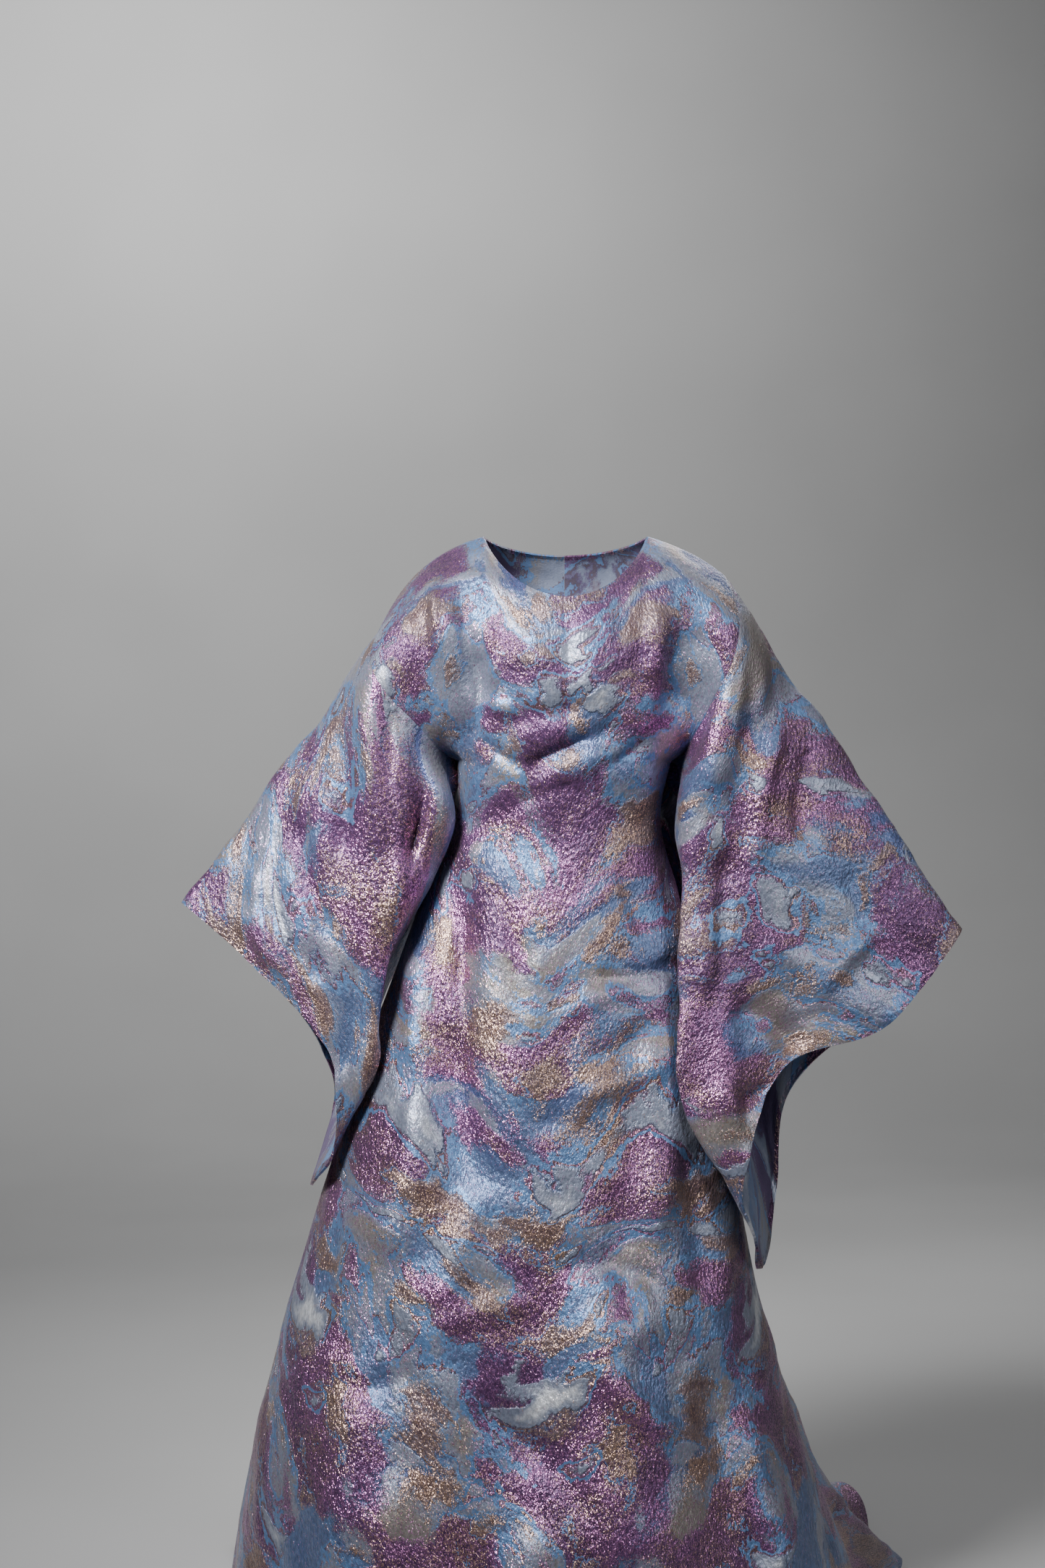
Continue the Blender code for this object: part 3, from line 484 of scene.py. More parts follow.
def ring_points(depths, angles, is_front):
    """Body points for seam depths below the origin (rows) and angles round half a ring (columns).

    Angle 0 is the right side seam on the front, and the left side seam on the back.
    """
    table = np.array(RINGS)
    rings = Ring(*smooth_rows(-table[:, 0], table, depths).T[:, :, None])
    cos, sin = np.cos(angles), np.sin(angles)
    if is_front:
        along, y_middle, z_middle = -cos, rings.y_front, rings.z_front
        square = spread = rings.square_front
    else:
        along, y_middle, z_middle = cos, rings.y_back, rings.z_back
        square = rings.square_back
        spread = np.where(cos > 0, rings.spread_left, rings.spread_right)
    half = (rings.x_left - rings.x_right) / 2
    x = (rings.x_left + rings.x_right) / 2 + half * along * (1 + spread * sin**2)
    y = rings.y_seam + (y_middle - rings.y_seam) * sin * (1 + square * cos**2)
    z = rings.z_seam + (z_middle - rings.z_seam) * sin**SEAM_BLEND
    return np.stack([x, y, z], axis=2)


def bezier(start, bend, end, t):
    t = t[:, None]
    return (1 - t)**2 * start + 2 * t * (1 - t) * bend + t**2 * end


def shoulder_line(places, is_front):
    """Points from the right armhole over the shoulder, round half the neck, to the left armhole."""
    line = np.zeros((len(places), 3))
    right, left = places <= 1 / 3, places >= 2 / 3
    neck = ~(right | left)
    neck_right = (NECK_X - NECK_HALF_WIDTH, 0.0, NECK_SIDE_Z)
    neck_left = (NECK_X + NECK_HALF_WIDTH, 0.0, NECK_SIDE_Z)
    line[right] = bezier(RIGHT_SHOULDER_TIP, RIGHT_SHOULDER_BEND, neck_right, places[right] * 3)
    line[left] = bezier(neck_left, LEFT_SHOULDER_BEND, LEFT_SHOULDER_TIP, places[left] * 3 - 2)
    turn = np.pi * (places[neck] * 3 - 1)
    bow = np.sin(turn)**SEAM_BLEND
    y_middle, drop = NECK_FRONT if is_front else NECK_BACK
    line[neck, 0] = NECK_X - NECK_HALF_WIDTH * np.cos(turn)
    line[neck, 1] = y_middle * bow
    line[neck, 2] = NECK_SIDE_Z - drop * bow
    return line


def yoke_points(steps, angles, is_front):
    """Points from the shoulder line (step 0) to the underarm ring (step 1)."""
    places = (angles if is_front else np.pi - angles) / np.pi
    side = np.sign(places - 0.5)
    outward = -1 if is_front else 1
    table = np.array(FRONT_PULLS if is_front else BACK_PULLS)
    pull = Pull(*smooth_rows(table[:, 0], table, np.minimum(places, 1 - places)).T)
    top_pull = np.stack([side * pull.out, outward * pull.away, -pull.down], axis=1)
    first = -RINGS[0].z_seam
    ring, below = ring_points(np.array([first, first + SLOPE_STEP]), angles, is_front)
    ring_pull = (below - ring) / SLOPE_STEP * YOKE_LENGTH
    edge_pull = np.stack([-side * UNDERARM_PULL.out, -outward * UNDERARM_PULL.away + 0 * side,
                          -UNDERARM_PULL.down + 0 * side], axis=1)
    from_side = np.minimum(angles, np.pi - angles)
    share = np.exp(-(from_side / UNDERARM_REACH)**2)[:, None]
    ring_pull = edge_pull * share + ring_pull * (1 - share)
    return hermite(steps[:, None, None], shoulder_line(places, is_front), top_pull, ring, ring_pull)


def section_loop(points):
    """Half of the loop in front, from the underarm seam to the overarm, then half behind.

    Both halves are drawn through one more point at each end, so that they meet smoothly.
    """
    front = points[6::-1] + points[-1:]
    behind = points[1::-1] + points[:3:-1]
    halves = []
    for half, shares in ((front, 1 - YOKE_STEPS[::-1]), (behind, YOKE_STEPS)):
        knots = run_along(half, KNOT_POWER)
        inner = smooth_rows(knots, half, np.linspace(knots[1], knots[-2], LOOP_STEPS))
        knots = run_along(inner, KNOT_POWER)
        fine = smooth_rows(knots, inner, np.linspace(0, knots[-1], FINE_LOOP_STEPS))
        run = run_along(fine)
        halves.append(points_at(shares * run[-1], run, fine))
    return np.concatenate([halves[0], halves[1][1:]])


def grid_lines(first, last, count, gaps, close_at_start=True):
    """Evenly spaced grid lines, with more of them close to the ends that are sewn or turned."""
    close = [last - gap for gap in gaps]
    if close_at_start:
        close += [first + gap for gap in gaps]
    return np.unique(np.concatenate([np.linspace(first, last, count + 1), close]))


RING_ANGLES = grid_lines(0, np.pi, RING_COLUMNS, CLOSE_ANGLES)
YOKE_STEPS = grid_lines(0, 1, YOKE_ROWS, CLOSE_SHARES)
SKIRT_DEPTHS = grid_lines(-RINGS[0].z_seam, -RINGS[-1].z_seam, SKIRT_ROWS, CLOSE_DEPTHS, False)
SLEEVE_PLACES = grid_lines(0, 1, SLEEVE_ROWS, CLOSE_REACHES)
UNDERARM_ROW = len(YOKE_STEPS) - 1


def body_net(is_front):
    """Grid of cloth points, shoulder line to hem, over the whole front or the whole back."""
    yoke = yoke_points(YOKE_STEPS, RING_ANGLES, is_front)
    return np.concatenate([yoke, ring_points(SKIRT_DEPTHS[1:], RING_ANGLES, is_front)])


def sleeve_net(front, back, sections, edge_front, edge_back):
    """Grid of cloth points from the armhole to the cuff, round from underarm seam to itself."""
    armhole = np.concatenate([front[UNDERARM_ROW::-1, edge_front], back[1:UNDERARM_ROW + 1, edge_back]])
    loops = [armhole] + [section_loop(points) for _, *points in sections]
    return smooth_rows([0.0] + [reach for reach, *_ in sections], loops, SLEEVE_PLACES)


def net_normals(net):
    """Outward unit normal at each point of a grid, the mean of the faces round it."""
    faces = unit(np.cross(net[1:, 1:] - net[:-1, :-1], net[:-1, 1:] - net[1:, :-1]))
    normals = np.zeros_like(net)
    for rows in (slice(None, -1), slice(1, None)):
        for columns in (slice(None, -1), slice(1, None)):
            normals[rows, columns] += faces
    return unit(normals)


def edge_runs(net):
    """Distance along the cloth from each of a grid's four edges."""
    turned = net.swapaxes(0, 1)
    return {"first_row": run_along(net), "last_row": run_along(net[::-1])[::-1],
            "first_column": run_along(turned).T, "last_column": run_along(turned[::-1])[::-1].T}


def body_cut(net):
    """Flat place of each point of a body grid: across from its middle column, and down."""
    runs = edge_runs(net)
    across = runs["first_column"]
    middle = net.shape[1] // 2
    return np.stack([across - across[:, middle:middle + 1], runs["first_row"] - net[:1, :, 2]], axis=2)


def sleeve_cut(net):
    """Flat place of each point of a sleeve: the loops open out on both sides of the overarm."""
    runs = edge_runs(net)
    middle = net.shape[1] // 2
    outward = runs["first_row"][:, middle:middle + 1]
    round_arm = runs["first_column"][:, middle:middle + 1] - runs["first_column"]
    across = outward * np.cos(OVERARM_ANGLE) - round_arm * np.cos(HANG_ANGLE)
    return np.stack([across, outward * np.sin(OVERARM_ANGLE) + round_arm * np.sin(HANG_ANGLE)], axis=2)


def fold_heights(net, folds):
    """Sum of the folds' heights at each point, measured in the front view."""
    heights = np.zeros(net.shape[:2])
    for x0, z0, x1, z1, bow, width, height in folds:
        line = np.array((x1, z1)) - (x0, z0)
        length = np.linalg.norm(line)
        line /= length
        offset = net[:, :, [0, 2]] - (x0, z0)
        along = offset @ line / length
        aside = offset @ (-line[1], line[0]) - bow * 4 * along * (1 - along)
        ends = 1 / (1 + np.exp((FOLD_END - along) * FOLD_FADE))
        ends /= 1 + np.exp((along - (1 - FOLD_END)) * FOLD_FADE)
        heights += height * ends * np.exp(-(aside / width)**2)
    return heights


def flute_heights(net):
    """The part's flutes, at this finer grid's own angles."""
    heights = np.zeros(net.shape[:2])
    for angle, z_start, width, height in BACK_FLUTES:
        growth = smooth_step(z_start - net[:, :1, 2], 0, FLUTE_GROWTH)
        heights += height * growth * np.exp(-((np.degrees(RING_ANGLES) - angle) / width)**2)
    return heights


def wave_heights(cut, width, height):
    """Gentle uneven waves over the flat cloth."""
    flat = cut.reshape(-1, 2) / width
    heights = [noise.noise((across, down, width * 100)) for across, down in flat]
    return np.array(heights).reshape(cut.shape[:2]) * height


def creased(net, cut, front_folds, back_folds, own_heights=0):
    """The grid with its folds, creases and waves, which die out at the sewn edges."""
    runs = edge_runs(net)
    normals = net_normals(net)
    backward = normals[:, :, 1] * FACING_GAIN
    heights = fold_heights(net, front_folds) * np.clip(-backward, 0, 1)
    heights += fold_heights(net, back_folds) * np.clip(backward, 0, 1) + own_heights
    for width, height in CLOTH_WAVES:
        heights += wave_heights(cut, width, height)
    heights += wave_heights(cut, *EDGE_WAVES) * (1 - smooth_step(runs["last_row"], 0, EDGE_WAVES_REACH))
    heights *= np.prod([smooth_step(runs[edge], 0, EDGE_CALM) for edge in SEWN_EDGES], axis=0)
    return net + normals * heights[:, :, None]


def rounded(line, centre, softness, reach, share):
    """The line of points, more softly bent near its point number centre."""
    run = run_along(line)
    run -= run[centre]
    offsets = np.linspace(-KERNEL_SPAN, KERNEL_SPAN, KERNEL_STEPS) * softness
    kernel = np.exp(-(offsets / softness)**2)
    kernel /= kernel.sum()
    soft = [np.interp(run[:, None] + offsets, run, line[:, k]) @ kernel for k in range(3)]
    near = share * np.exp(-(run / reach)**4)[:, None]
    return line + (np.stack(soft, axis=1) - line) * near


def round_armhole(body_side, sleeve_side):
    """Rounds the crease along half an armhole, in place, by the same amount on both pieces.

    body_side has a row for each seam point from the underarm to the shoulder, and columns that
    lead away from the seam. sleeve_side has the same points as columns, and rows leading away.
    """
    places = np.linspace(0, 1, len(body_side))
    shares = swell(places, ARMHOLE_RISE, ARMHOLE_FALL)
    seam = body_side.shape[1] - 1
    for r, share in enumerate(shares):
        line = np.concatenate([body_side[r, ::-1], sleeve_side[1:, r]])
        line = rounded(line, seam, *ARMHOLE_ROUNDING, share)
        body_side[r, ::-1] = line[:seam + 1]
        sleeve_side[:, r] = line[seam:]


def round_neck_corners(net):
    """Rounds the crease that runs down from each corner of the neck, in place."""
    depths = run_along(net)
    for side in (-1, 1):
        corner = np.argmin(np.abs(net[0, :, 0] - NECK_X - side * NECK_HALF_WIDTH))
        for r, depth in enumerate(depths[:, corner]):
            share = swell(depth, NECK_RISE, NECK_FALL)
            net[r] = rounded(net[r], corner, *NECK_ROUNDING, share)


def sag_underarm(net, sag):
    """Lets a sleeve hang lower behind its underarm, in place."""
    centre = (net[0, 0, 0], SAG_DEPTH, SAG_HEIGHT)
    near = np.exp(-(np.linalg.norm(net - centre, axis=2) / SAG_REACH)**2)
    near *= smooth_step(run_along(net), 0, SAG_FADE)
    net -= near[:, :, None] * sag


def mirrored(folds):
    return [(-x0, z0, -x1, z1, -bow, width, height) for x0, z0, x1, z1, bow, width, height in folds]


def by_piece(front, back, left, right):
    """What belongs to each piece, by its name. The back is cut in two along its middle column."""
    half = len(RING_ANGLES) // 2
    return {"front_panel": front, "back_left_panel": back[:, :half + 1],
            "back_right_panel": back[:, half:], "left_sleeve": left, "right_sleeve": right}


def all_nets():
    """Every piece's grid, and the flat place of each of its points, by name."""
    front, back = body_net(True), body_net(False)
    round_neck_corners(front)
    round_neck_corners(back)
    left = sleeve_net(front, back, LEFT_SECTIONS, -1, 0)
    right = sleeve_net(front, back, RIGHT_SECTIONS, 0, -1)[:, ::-1]
    cuts = [body_cut(front), body_cut(back), sleeve_cut(left), sleeve_cut(right) * (-1, 1)]
    front = creased(front, cuts[0], FRONT_FOLDS, [])
    back = creased(back, cuts[1], [], BACK_FOLDS, flute_heights(back))
    left = creased(left, cuts[2], LEFT_SLEEVE_FOLDS, REAR_SLEEVE_FOLDS)
    right = creased(right, cuts[3], RIGHT_SLEEVE_FOLDS, mirrored(REAR_SLEEVE_FOLDS))
    near = slice(ROUNDED_LINES)
    for body, sleeve, turn in ((front, left, -1), (front, right, 1), (back, left, 1), (back, right, -1)):
        round_armhole(body[UNDERARM_ROW::-1, ::turn][:, near],
                      sleeve[near, ::-turn][:, :UNDERARM_ROW + 1])
    sag_underarm(left, LEFT_SAG)
    sag_underarm(right, RIGHT_SAG)
    lowest = (-np.inf, -np.inf, FLOOR_Z + CLOTH_THICKNESS / 2)
    nets = by_piece(front, back, left, right)
    return {name: np.maximum(net, lowest) for name, net in nets.items()}, by_piece(*cuts)


def border_points(net):
    """Row and column of every point on a grid's border, once round."""
    rows, columns = net.shape[0] - 1, net.shape[1] - 1
    top_and_right = [(0, j) for j in range(columns)] + [(i, columns) for i in range(rows)]
    return top_and_right + [(rows - i, columns - j) for i, j in top_and_right]


def mitred_normals(nets):
    """Normals that halve the angle between pieces at their seams, longer where it is sharp.

    Moved out and in along them, neighbouring walls keep their thickness and meet edge to edge.
    """
    mitred = {name: net_normals(net) for name, net in nets.items()}
    meeting = {}
    for name, net in nets.items():
        for i, j in border_points(net):
            meeting.setdefault(tuple(np.round(net[i, j], 6)), []).append((name, i, j))
    for places in meeting.values():
        mean = np.mean([mitred[name][i, j] for name, i, j in places], axis=0)
        cosine = np.linalg.norm(mean)
        for name, i, j in places:
            mitred[name][i, j] = mean / cosine / max(cosine, SHARPEST_MITRE)
    return mitred


def draw_back_from_seams(net, normals):
    """Moves a piece's sewn edges in by half of the seam gap, so that pieces don't touch."""
    moved = net.copy()
    mitres = np.linalg.norm(normals, axis=2, keepdims=True)
    every = slice(None)
    for rim, inner in (((every, 0), (every, 1)), ((every, -1), (every, -2)), (0, 1)):
        moved[rim] += unit(net[inner] - net[rim]) * mitres[rim] * SEAM_GAP / 2
    return moved


def on_neckline(net):
    """Which columns of a grid start at the neckline, and not at a shoulder seam."""
    return np.abs(net[0, :, 0] - NECK_X) < NECK_HALF_WIDTH - 0.001


def sewn_heights(runs, last_turning, at_neck):
    """Dips at the seams with a swelling beside them, and the thicker turned edges.

    A body's first row is a seam at the shoulders and a turned edge at the neck.
    """
    heights = np.zeros(runs["first_row"].shape)
    for edge in SEWN_EDGES:
        away = runs[edge]
        seam = -SEAM_DIP * np.exp(-(away / SEAM_DIP_WIDTH)**2)
        seam += SEAM_PUFF * np.exp(-((away - SEAM_PUFF_PLACE) / SEAM_PUFF_PLACE * SEAM_PUFF_SHARPNESS)**2)
        heights += seam if edge != "first_row" else seam * ~at_neck
    along = runs["first_column"]
    unevenness = PUCKER_SHIFT * np.sin(along * PUCKER_SHIFT_RATE)
    pucker = 1 - PUCKER_SHARE + PUCKER_SHARE * np.sin(2 * np.pi * along / PUCKER_PITCH + unevenness)
    for edge, depth, share in (("last_row", last_turning, 1), ("first_row", NECK_TURNING, at_neck)):
        away = runs[edge]
        turning = TURNING_STEP * (1 - smooth_step(away, depth, depth + TURNING_SLOPE))
        turning -= STITCH_DIP * pucker * np.exp(-((away - depth) / STITCH_DIP_WIDTH)**2)
        heights += turning * share
    return heights


def new_object(name, data):
    made = bpy.data.objects.new(name, data)
    bpy.context.scene.collection.objects.link(made)
    return made


def new_mesh_object(name, points, faces, *materials):
    mesh = bpy.data.meshes.new(name)
    mesh.from_pydata(points, [], faces)
    mesh.shade_smooth()
    for material in materials:
        mesh.materials.append(material)
    return new_object(name, mesh)


def cloth_shell(name, net, flat, normals, materials):
    """Closed shell of cloth: the grid moved out and in by half the thickness, and rims between.

    The turned edges show the right side of the cloth inside as well, as deep as they are turned.
    """
    runs, at_neck = edge_runs(net), on_neckline(net)
    last_turning = CUFF_TURNING if name.endswith("sleeve") else HEM_TURNING
    relief = sewn_heights(runs, last_turning, at_neck)[:, :, None]
    lift = normals * (CLOTH_THICKNESS / 2 + relief)
    points = np.concatenate([(net + lift).reshape(-1, 3), (net - lift).reshape(-1, 3)])
    count = len(points) // 2
    index = np.arange(count).reshape(net.shape[:2])
    quads = np.stack([index[:-1, :-1], index[1:, :-1], index[1:, 1:], index[:-1, 1:]], axis=2)
    outside = quads.reshape(-1, 4)
    border = np.array([index[place] for place in border_points(net)])
    ahead = np.roll(border, -1)
    rims = np.stack([border, ahead, ahead + count, border + count], axis=1)
    faces = np.concatenate([outside, outside[:, ::-1] + count, rims])
    piece = new_mesh_object(name + "_cloth", points.tolist(), faces.tolist(), *materials)
    mesh = piece.data
    mesh.set_sharp_from_angle(angle=SHARP_ANGLE)
    is_turned = runs["last_row"][:-1, :-1] < last_turning
    is_turned |= (runs["first_row"][1:, :-1] < NECK_TURNING) & at_neck[:-1]
    slots = np.zeros(len(faces), dtype=np.int32)
    slots[len(outside):len(outside) * 2] = ~is_turned.ravel()
    mesh.polygons.foreach_set("material_index", slots)
    cut = np.tile(flat.reshape(-1, 2) + CUTS[name][:2], (2, 1))
    corners = np.empty(len(mesh.loops), dtype=np.int32)
    mesh.loops.foreach_get("vertex_index", corners)
    mesh.uv_layers.new(name="cut").data.foreach_set("uv", cut[corners].astype(np.float32).ravel())
    return piece


def turned_line(net, normals, depth, at_neck):
    """Points on the cloth at the stitching of its last row's turning, or of the neckline's."""
    surface = net + normals * CLOTH_THICKNESS / 2
    surface = surface[:, on_neckline(net)] if at_neck else surface[::-1]
    return np.array([points_at(depth, run_along(line), line) for line in surface.swapaxes(0, 1)])


def stitches(name, lines, material):
    """Short flat stitches along the lines, joined in one piece."""
    points, faces = [], []
    places, sizes = np.array(STITCH_RINGS).T
    sides = range(STITCH_SIDES)
    for line in lines:
        run = run_along(line)
        for start in np.arange(STITCH_PITCH, run[-1] - STITCH_PITCH, STITCH_PITCH):
            middle = points_at(start + STITCH_LENGTH * places, run, line)
            direction = Vector(middle[-1] - middle[0]).normalized()
            aside = direction.orthogonal().normalized()
            upward = direction.cross(aside)
            first = len(points)
            for centre, size in zip(middle, sizes):
                for side in sides:
                    angle = side * 2 * np.pi / STITCH_SIDES
                    offset = (aside * np.cos(angle) + upward * np.sin(angle)) * THREAD_RADIUS * size
                    points.append(Vector(centre) + offset)
            last = len(points) - STITCH_SIDES
            for ring in range(first, last, STITCH_SIDES):
                for side in sides:
                    a, b = ring + side, ring + (side + 1) % STITCH_SIDES
                    faces.append((a, b, b + STITCH_SIDES, a + STITCH_SIDES))
            faces.append([first + side for side in reversed(sides)])
            faces.append([last + side for side in sides])
    return new_mesh_object(name, points, faces, material)


def yarn(name, alpha=1.0):
    """A yarn's screen colour as light values."""
    light = (c / 12.92 if c <= 0.04045 else ((c + 0.055) / 1.055)**2.4 for c in YARNS[name])
    return (*light, alpha)


class Value:
    """A number, vector or colour that a node gives, with which one can reckon."""

    def __init__(self, graph, socket):
        self.graph, self.socket = graph, socket

    def reckon(self, operation, other=None, **settings):
        kind = "Math" if self.socket.type == "VALUE" else "VectorMath"
        return self.graph.add(kind, {0: self, 1: other}, operation=operation, **settings)[0]

    def __add__(self, other):
        return self.reckon("ADD", other)

    def __sub__(self, other):
        return self.reckon("SUBTRACT", other)

    def __mul__(self, other):
        if self.socket.type == "VALUE" or isinstance(other, tuple):
            return self.reckon("MULTIPLY", other)
        return self.graph.add("VectorMath", {0: self, "Scale": other}, operation="SCALE")[0]

    def spread(self, low, high, to_low=0.0, to_high=1.0):
        inputs = {0: self, 1: low, 2: high, 3: to_low, 4: to_high}
        return self.graph.add("MapRange", inputs, interpolation_type="SMOOTHSTEP")[0]

    def shaded(self, lightness):
        """This colour, made darker or lighter."""
        return self.graph.mix(1.0, self, self.graph.grey(lightness), "MULTIPLY")


class Graph:
    """Adds linked nodes to a material."""

    def __init__(self, name):
        self.material = bpy.data.materials.new(name)
        self.material.use_nodes = True
        self.nodes = self.material.node_tree.nodes

    def put(self, socket, value):
        if isinstance(value, Value):
            self.material.node_tree.links.new(value.socket, socket)
        elif value is not None:
            socket.default_value = value

    def add(self, kind, inputs, **settings):
        """The outputs of a new node with these inputs and settings."""
        node = self.nodes.new("ShaderNode" + kind)
        for key, value in settings.items():
            setattr(node, key, value)
        for key, value in inputs.items():
            self.put(node.inputs[key], value)
        return [Value(self, socket) for socket in node.outputs]

    def noise(self, place, scale, detail=2.0, roughness=0.5):
        inputs = {"Vector": place, "Scale": scale, "Detail": detail, "Roughness": roughness}
        return self.add("TexNoise", inputs)

    def mix(self, share, a, b, blend="MIX"):
        return self.add("Mix", {0: share, 6: a, 7: b}, data_type="RGBA", blend_type=blend)[2]

    def blend_values(self, share, a, b):
        return self.add("Mix", {0: share, 2: a, 3: b}, data_type="FLOAT")[0]

    def grey(self, value):
        return self.add("CombineColor", {0: value, 1: value, 2: value})[0]

    def ramp(self, value, stops):
        outputs = self.add("ValToRGB", {0: value})
        elements = self.nodes[-1].color_ramp.elements
        elements.remove(elements[1])
        elements[0].position, elements[0].color = stops[0]
        for position, colour in stops[1:]:
            elements.new(position).color = colour
        return outputs

    def raised(self, height):
        return self.add("Bump", {"Strength": 1.0, "Distance": 1.0, "Height": height})[0]

    def finish(self, looks):
        """The material, with these inputs of its shader."""
        for name, value in looks.items():
            self.put(self.nodes["Principled BSDF"].inputs[name], value)
        return self.material


def lay_over(graph, below, mask, colour, foil, relief):
    """Another yarn in front of what is below, where the mask is one."""
    return (graph.mix(mask, below[0], colour), graph.blend_values(mask, below[1], foil),
            graph.blend_values(mask, below[2], relief))


def marbling(graph):
    """Colour, glitter and relief of the marbled weave, which repeats across the loom width."""
    cut = graph.add("UVMap", {}, uv_map="cut")[0]
    across, down, _ = graph.add("SeparateXYZ", {0: cut})
    turn = across * (2 * np.pi / REPEAT_WIDTH)
    radius = REPEAT_WIDTH / (2 * np.pi)
    roll = graph.add("CombineXYZ", {0: turn.reckon("COSINE") * radius,
                                    1: turn.reckon("SINE") * radius, 2: down * DOWN_SQUEEZE})[0]
    for scale, detail, reach in WARPS:
        swirl = graph.noise(roll, scale, detail, 0.55)[1] - MID_GREY
        roll = roll + swirl * (reach * 2)
    ragged = graph.noise(cut * RAGGED_GRAIN, 1.0, 2.0, 0.6)[0] - 0.5
    flecks = graph.add("TexVoronoi", {"Vector": cut * FLECK_GRAIN, "Scale": 1.0},
                       voronoi_dimensions="2D")[1]
    stray = graph.add("SeparateColor", {0: flecks})[2] - 0.5
    tone = graph.noise(roll + TONE_SHIFT, 5.0)[0] + ragged * 0.06
    gleam = graph.noise(roll + GLEAM_SHIFT, 6.0)[0]
    colour, foil = graph.ramp(tone, [(band.place, yarn(band.yarn, band.foil)) for band in GROUND_BANDS])
    relief = graph.ramp(tone, [(band.place, (band.relief,) * 3 + (1.0,)) for band in GROUND_BANDS])[0]
    looks = (colour, foil, relief)
    fields = {}
    puff = None
    for cloud in CLOUDS:
        field = graph.noise(roll + cloud.shift, cloud.scale, 2.5)[0] + ragged * cloud.rough
        fields[cloud.name] = field
        strayed = field + stray * cloud.scatter
        mask = strayed.spread(cloud.level - cloud.soft, cloud.level + cloud.soft)
        core = field.spread(cloud.level + 0.02, cloud.level + 0.14)
        colour = graph.mix(core, yarn(cloud.yarn), yarn(cloud.core))
        looks = lay_over(graph, looks, mask, colour, cloud.foil, cloud.relief)
        puff = mask if puff is None else (puff * 0.6).reckon("MAXIMUM", mask)
        for rim in RIMS:
            if rim.cloud == cloud.name:
                gap = (field - rim.centre).reckon("ABSOLUTE")
                line = gap.spread(rim.width, rim.width * 0.6) * tone.spread(0.44, 0.50)
                looks = lay_over(graph, looks, line, yarn(rim.yarn), rim.foil, rim.relief)
    colour, foil, relief = looks
    foil = foil * gleam.spread(0.36, 0.60, 0.45, 1.20)
    return cut, (colour, foil, relief), puff, ragged, fields["gold"], flecks


def brocade_face():
    """Right side: satin and crepe yarns with foil flecks over a crinkled, quilted-looking relief, with
    painted shade in the crinkle troughs and pebble dips and painted light on their tops.
    """
    graph = Graph("brocade_face")
    cut, (colour, foil, relief), puff, ragged, warmth, flecks = marbling(graph)
    chance, hue, shine = graph.add("SeparateColor", {0: flecks})
    crinkle = graph.noise(cut * CRINKLE_GRAIN, 1.0, 2.0, 0.6)[0]
    lit = (chance + (crinkle - 0.5) + foil * 0.70).spread(0.90, 1.26)
    rosy = warmth + (hue - 0.5) * 0.20
    foil_colour = graph.mix(rosy.spread(0.45, 0.57), yarn("foil_pink"), yarn("foil_gold"))
    foil_colour = graph.mix(0.45, foil_colour, colour).shaded(shine.spread(0.0, 1.0, 0.60, 1.20))
    # Painted shade: the colour is darkened in the crinkle troughs and lightened a little on their crests,
    # where the bump below sinks and rises. relief sets how much of it the ground takes.
    painted_crinkle_shade = colour.shaded(crinkle.spread(0.30, 0.55, 0.70, 1.05))
    # Painted shade and light of the pebble relief: the ground is darker where the ragged noise, which is
    # also the pebble height, is low, and lighter where it is high.
    ground = graph.mix(relief, colour, painted_crinkle_shade).shaded(ragged.spread(-0.2, 0.2, 0.82, 1.15))
    rise = (crinkle - 0.5) * relief * CRINKLE_HEIGHT + ragged * PEBBLE_HEIGHT + puff * PUFF_HEIGHT
    tilt = (flecks - MID_GREY) * (lit * 0.55)
    return graph.finish({
        "Base Color": graph.mix(lit, ground, foil_colour),
        "Metallic": (lit * 0.45).reckon("ADD", 0.50, use_clamp=True),
        "Roughness": graph.blend_values(lit, 0.38, 0.33),
        "Normal": (graph.raised(rise) + tilt).reckon("NORMALIZE"),
        "Sheen Weight": 0.10,
        "Sheen Roughness": 0.45,
    })


def brocade_wrong_side():
    """Wrong side: the same marbling, dull and softened by the floats of the other yarns."""
    graph = Graph("brocade_wrong_side")
    cut, (colour, foil, _), puff, ragged, _, _ = marbling(graph)
    floats = graph.noise(cut * FLOAT_GRAIN, 1.0)[0]
    return graph.finish({
        "Base Color": graph.mix(floats.spread(0.3, 0.7, 0.10, 0.45), colour, yarn("wrong_side")),
        "Metallic": foil * 0.10,
        "Roughness": graph.blend_values(floats, 0.62, 0.85),
        "Normal": graph.raised(floats * FLOAT_HEIGHT + (ragged - puff) * DIMPLE_HEIGHT),
        "Sheen Weight": 0.10,
    })


def thread_material():
    graph = Graph("sewing_thread")
    twist = graph.noise(graph.add("TexCoord", {})[OBJECT_PLACE], 1800.0, 1.0)[0].spread(0.35, 0.65)
    return graph.finish({"Base Color": graph.mix(twist, yarn("sewing_thread"), yarn("dusty_blue")),
                         "Roughness": 0.6})


def studio_grey():
    graph = Graph("studio_grey")
    mottle = graph.noise(graph.add("TexCoord", {})[OBJECT_PLACE], 1.2)[0]
    mottle = mottle.spread(0.3, 0.7, STUDIO_GREY * 0.97, STUDIO_GREY * 1.03)
    return graph.finish({"Base Color": graph.grey(mottle), "Roughness": 0.9})


def make_camera():
    camera = new_object("camera", bpy.data.cameras.new("camera"))
    camera.location = CAMERA_PLACE
    camera.rotation_euler = (np.pi / 2, 0, 0)
    camera.data.lens = CAMERA_LENS
    camera.data.sensor_width = SENSOR
    bpy.context.scene.camera = camera


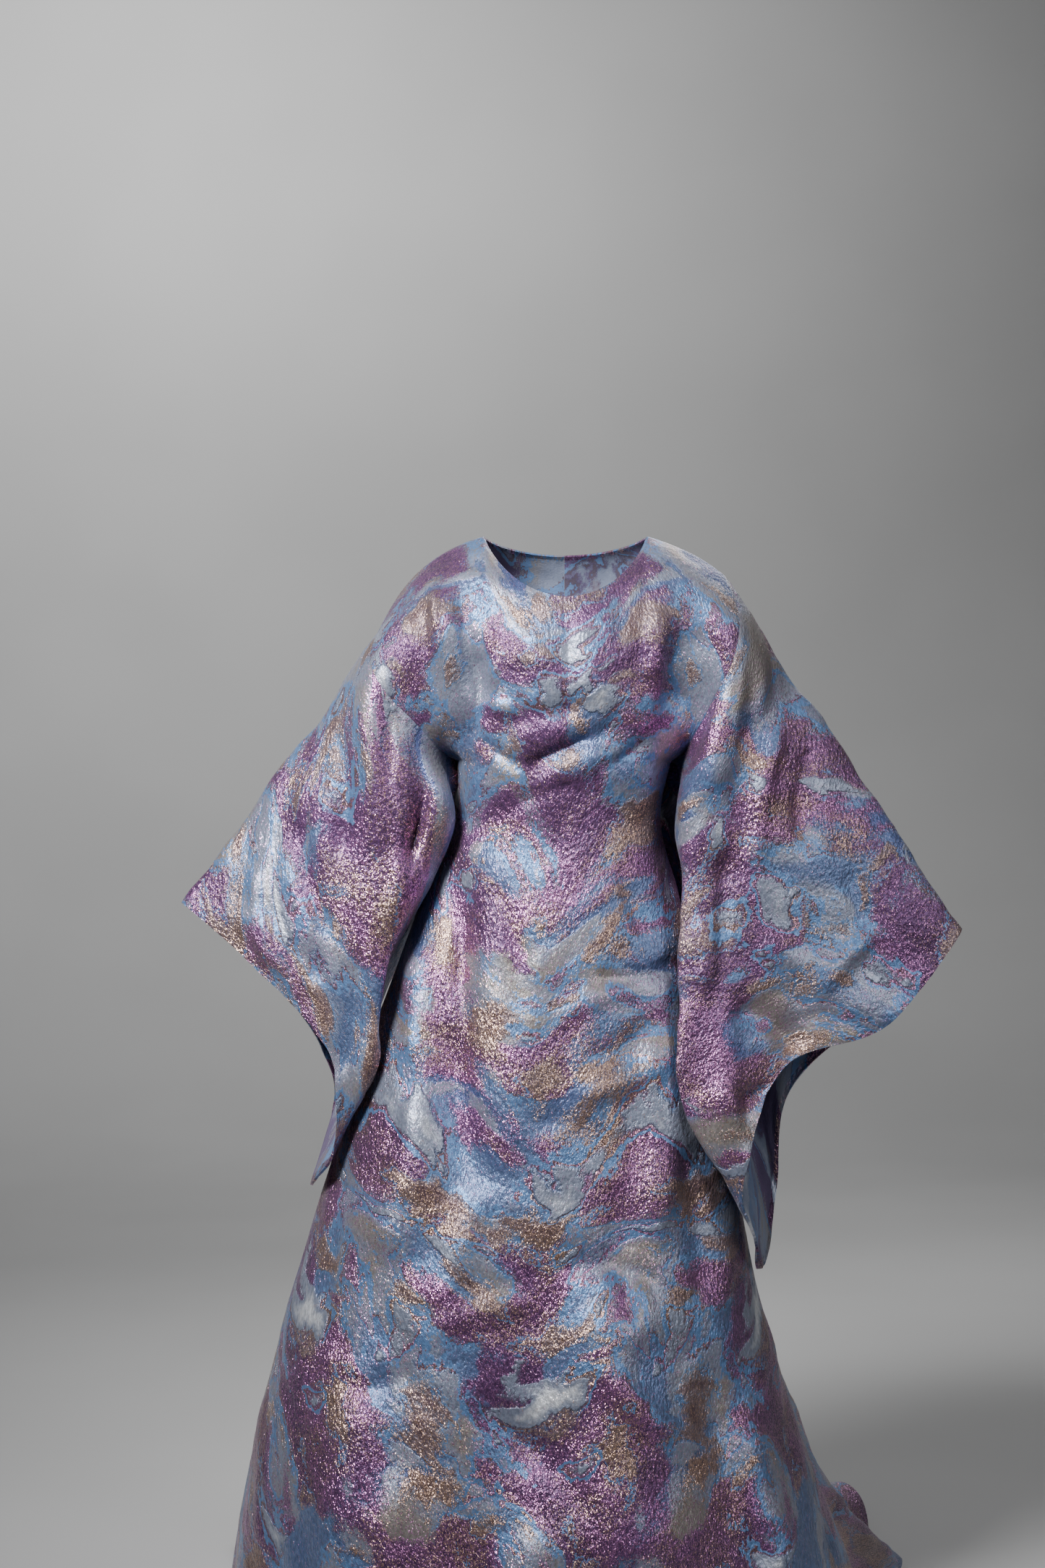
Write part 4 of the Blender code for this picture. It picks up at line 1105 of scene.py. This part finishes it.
def make_studio():
    """Floor and wall in one turned sheet, the same grey all over."""
    profile = []
    for step in range(STUDIO_STEPS + 1):
        angle = step / STUDIO_STEPS * np.pi / 2
        profile.append((STUDIO_RADIUS - STUDIO_SWEEP * (1 - np.sin(angle)),
                        STUDIO_SWEEP * (1 - np.cos(angle))))
    profile.append((STUDIO_RADIUS, STUDIO_HEIGHT))
    angles = np.arange(STUDIO_TURNS) * 2 * np.pi / STUDIO_TURNS
    points = [(r * np.cos(a), r * np.sin(a), z) for r, z in profile for a in angles]
    faces = [range(STUDIO_TURNS)]
    for ring in range(0, len(points) - STUDIO_TURNS, STUDIO_TURNS):
        for k in range(STUDIO_TURNS):
            a, b = ring + k, ring + (k + 1) % STUDIO_TURNS
            faces.append((a, a + STUDIO_TURNS, b + STUDIO_TURNS, b))
    studio = new_mesh_object("studio_floor", points, faces, studio_grey())
    studio.location = (0.0, 0.0, FLOOR_Z)


def make_lights():
    for lamp in LAMPS:
        light = bpy.data.lights.new(lamp.name, "AREA")
        light.shape = "RECTANGLE"
        light.size, light.size_y = lamp.width, lamp.height
        light.spread = np.radians(lamp.spread)
        light.energy = lamp.watts
        holder = new_object(lamp.name, light)
        holder.location = lamp.place
        aim = Vector(lamp.aim) - Vector(lamp.place)
        holder.rotation_euler = aim.to_track_quat("-Z", "Y").to_euler()
        holder.visible_camera = False
    world = bpy.data.worlds.new("studio_air")
    world.use_nodes = True
    background = world.node_tree.nodes["Background"]
    background.inputs["Color"].default_value = AIR_COLOUR
    background.inputs["Strength"].default_value = AIR_STRENGTH
    bpy.context.scene.world = world


def make_garment():
    materials = (brocade_face(), brocade_wrong_side())
    thread = thread_material()
    nets, flats = all_nets()
    normals = mitred_normals(nets)
    for name, net in nets.items():
        drawn_back = draw_back_from_seams(net, normals[name])
        piece = cloth_shell(name, drawn_back, flats[name], normals[name], materials)
        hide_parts(name)
        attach(piece, "root")
    sleeves = [name for name in nets if name.endswith("sleeve")]
    panels = [name for name in nets if name.endswith("panel")]
    rows = (("cuff_stitches", sleeves, CUFF_TURNING), ("hem_stitches", panels, HEM_TURNING),
            ("neck_stitches", panels, NECK_TURNING))
    for name, sources, depth in rows:
        lines = [turned_line(nets[source], normals[source], depth, name == "neck_stitches")
                 for source in sources]
        piece = stitches(name, lines, thread)
        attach(piece, "root")


make_camera()
make_studio()
make_lights()
make_garment()
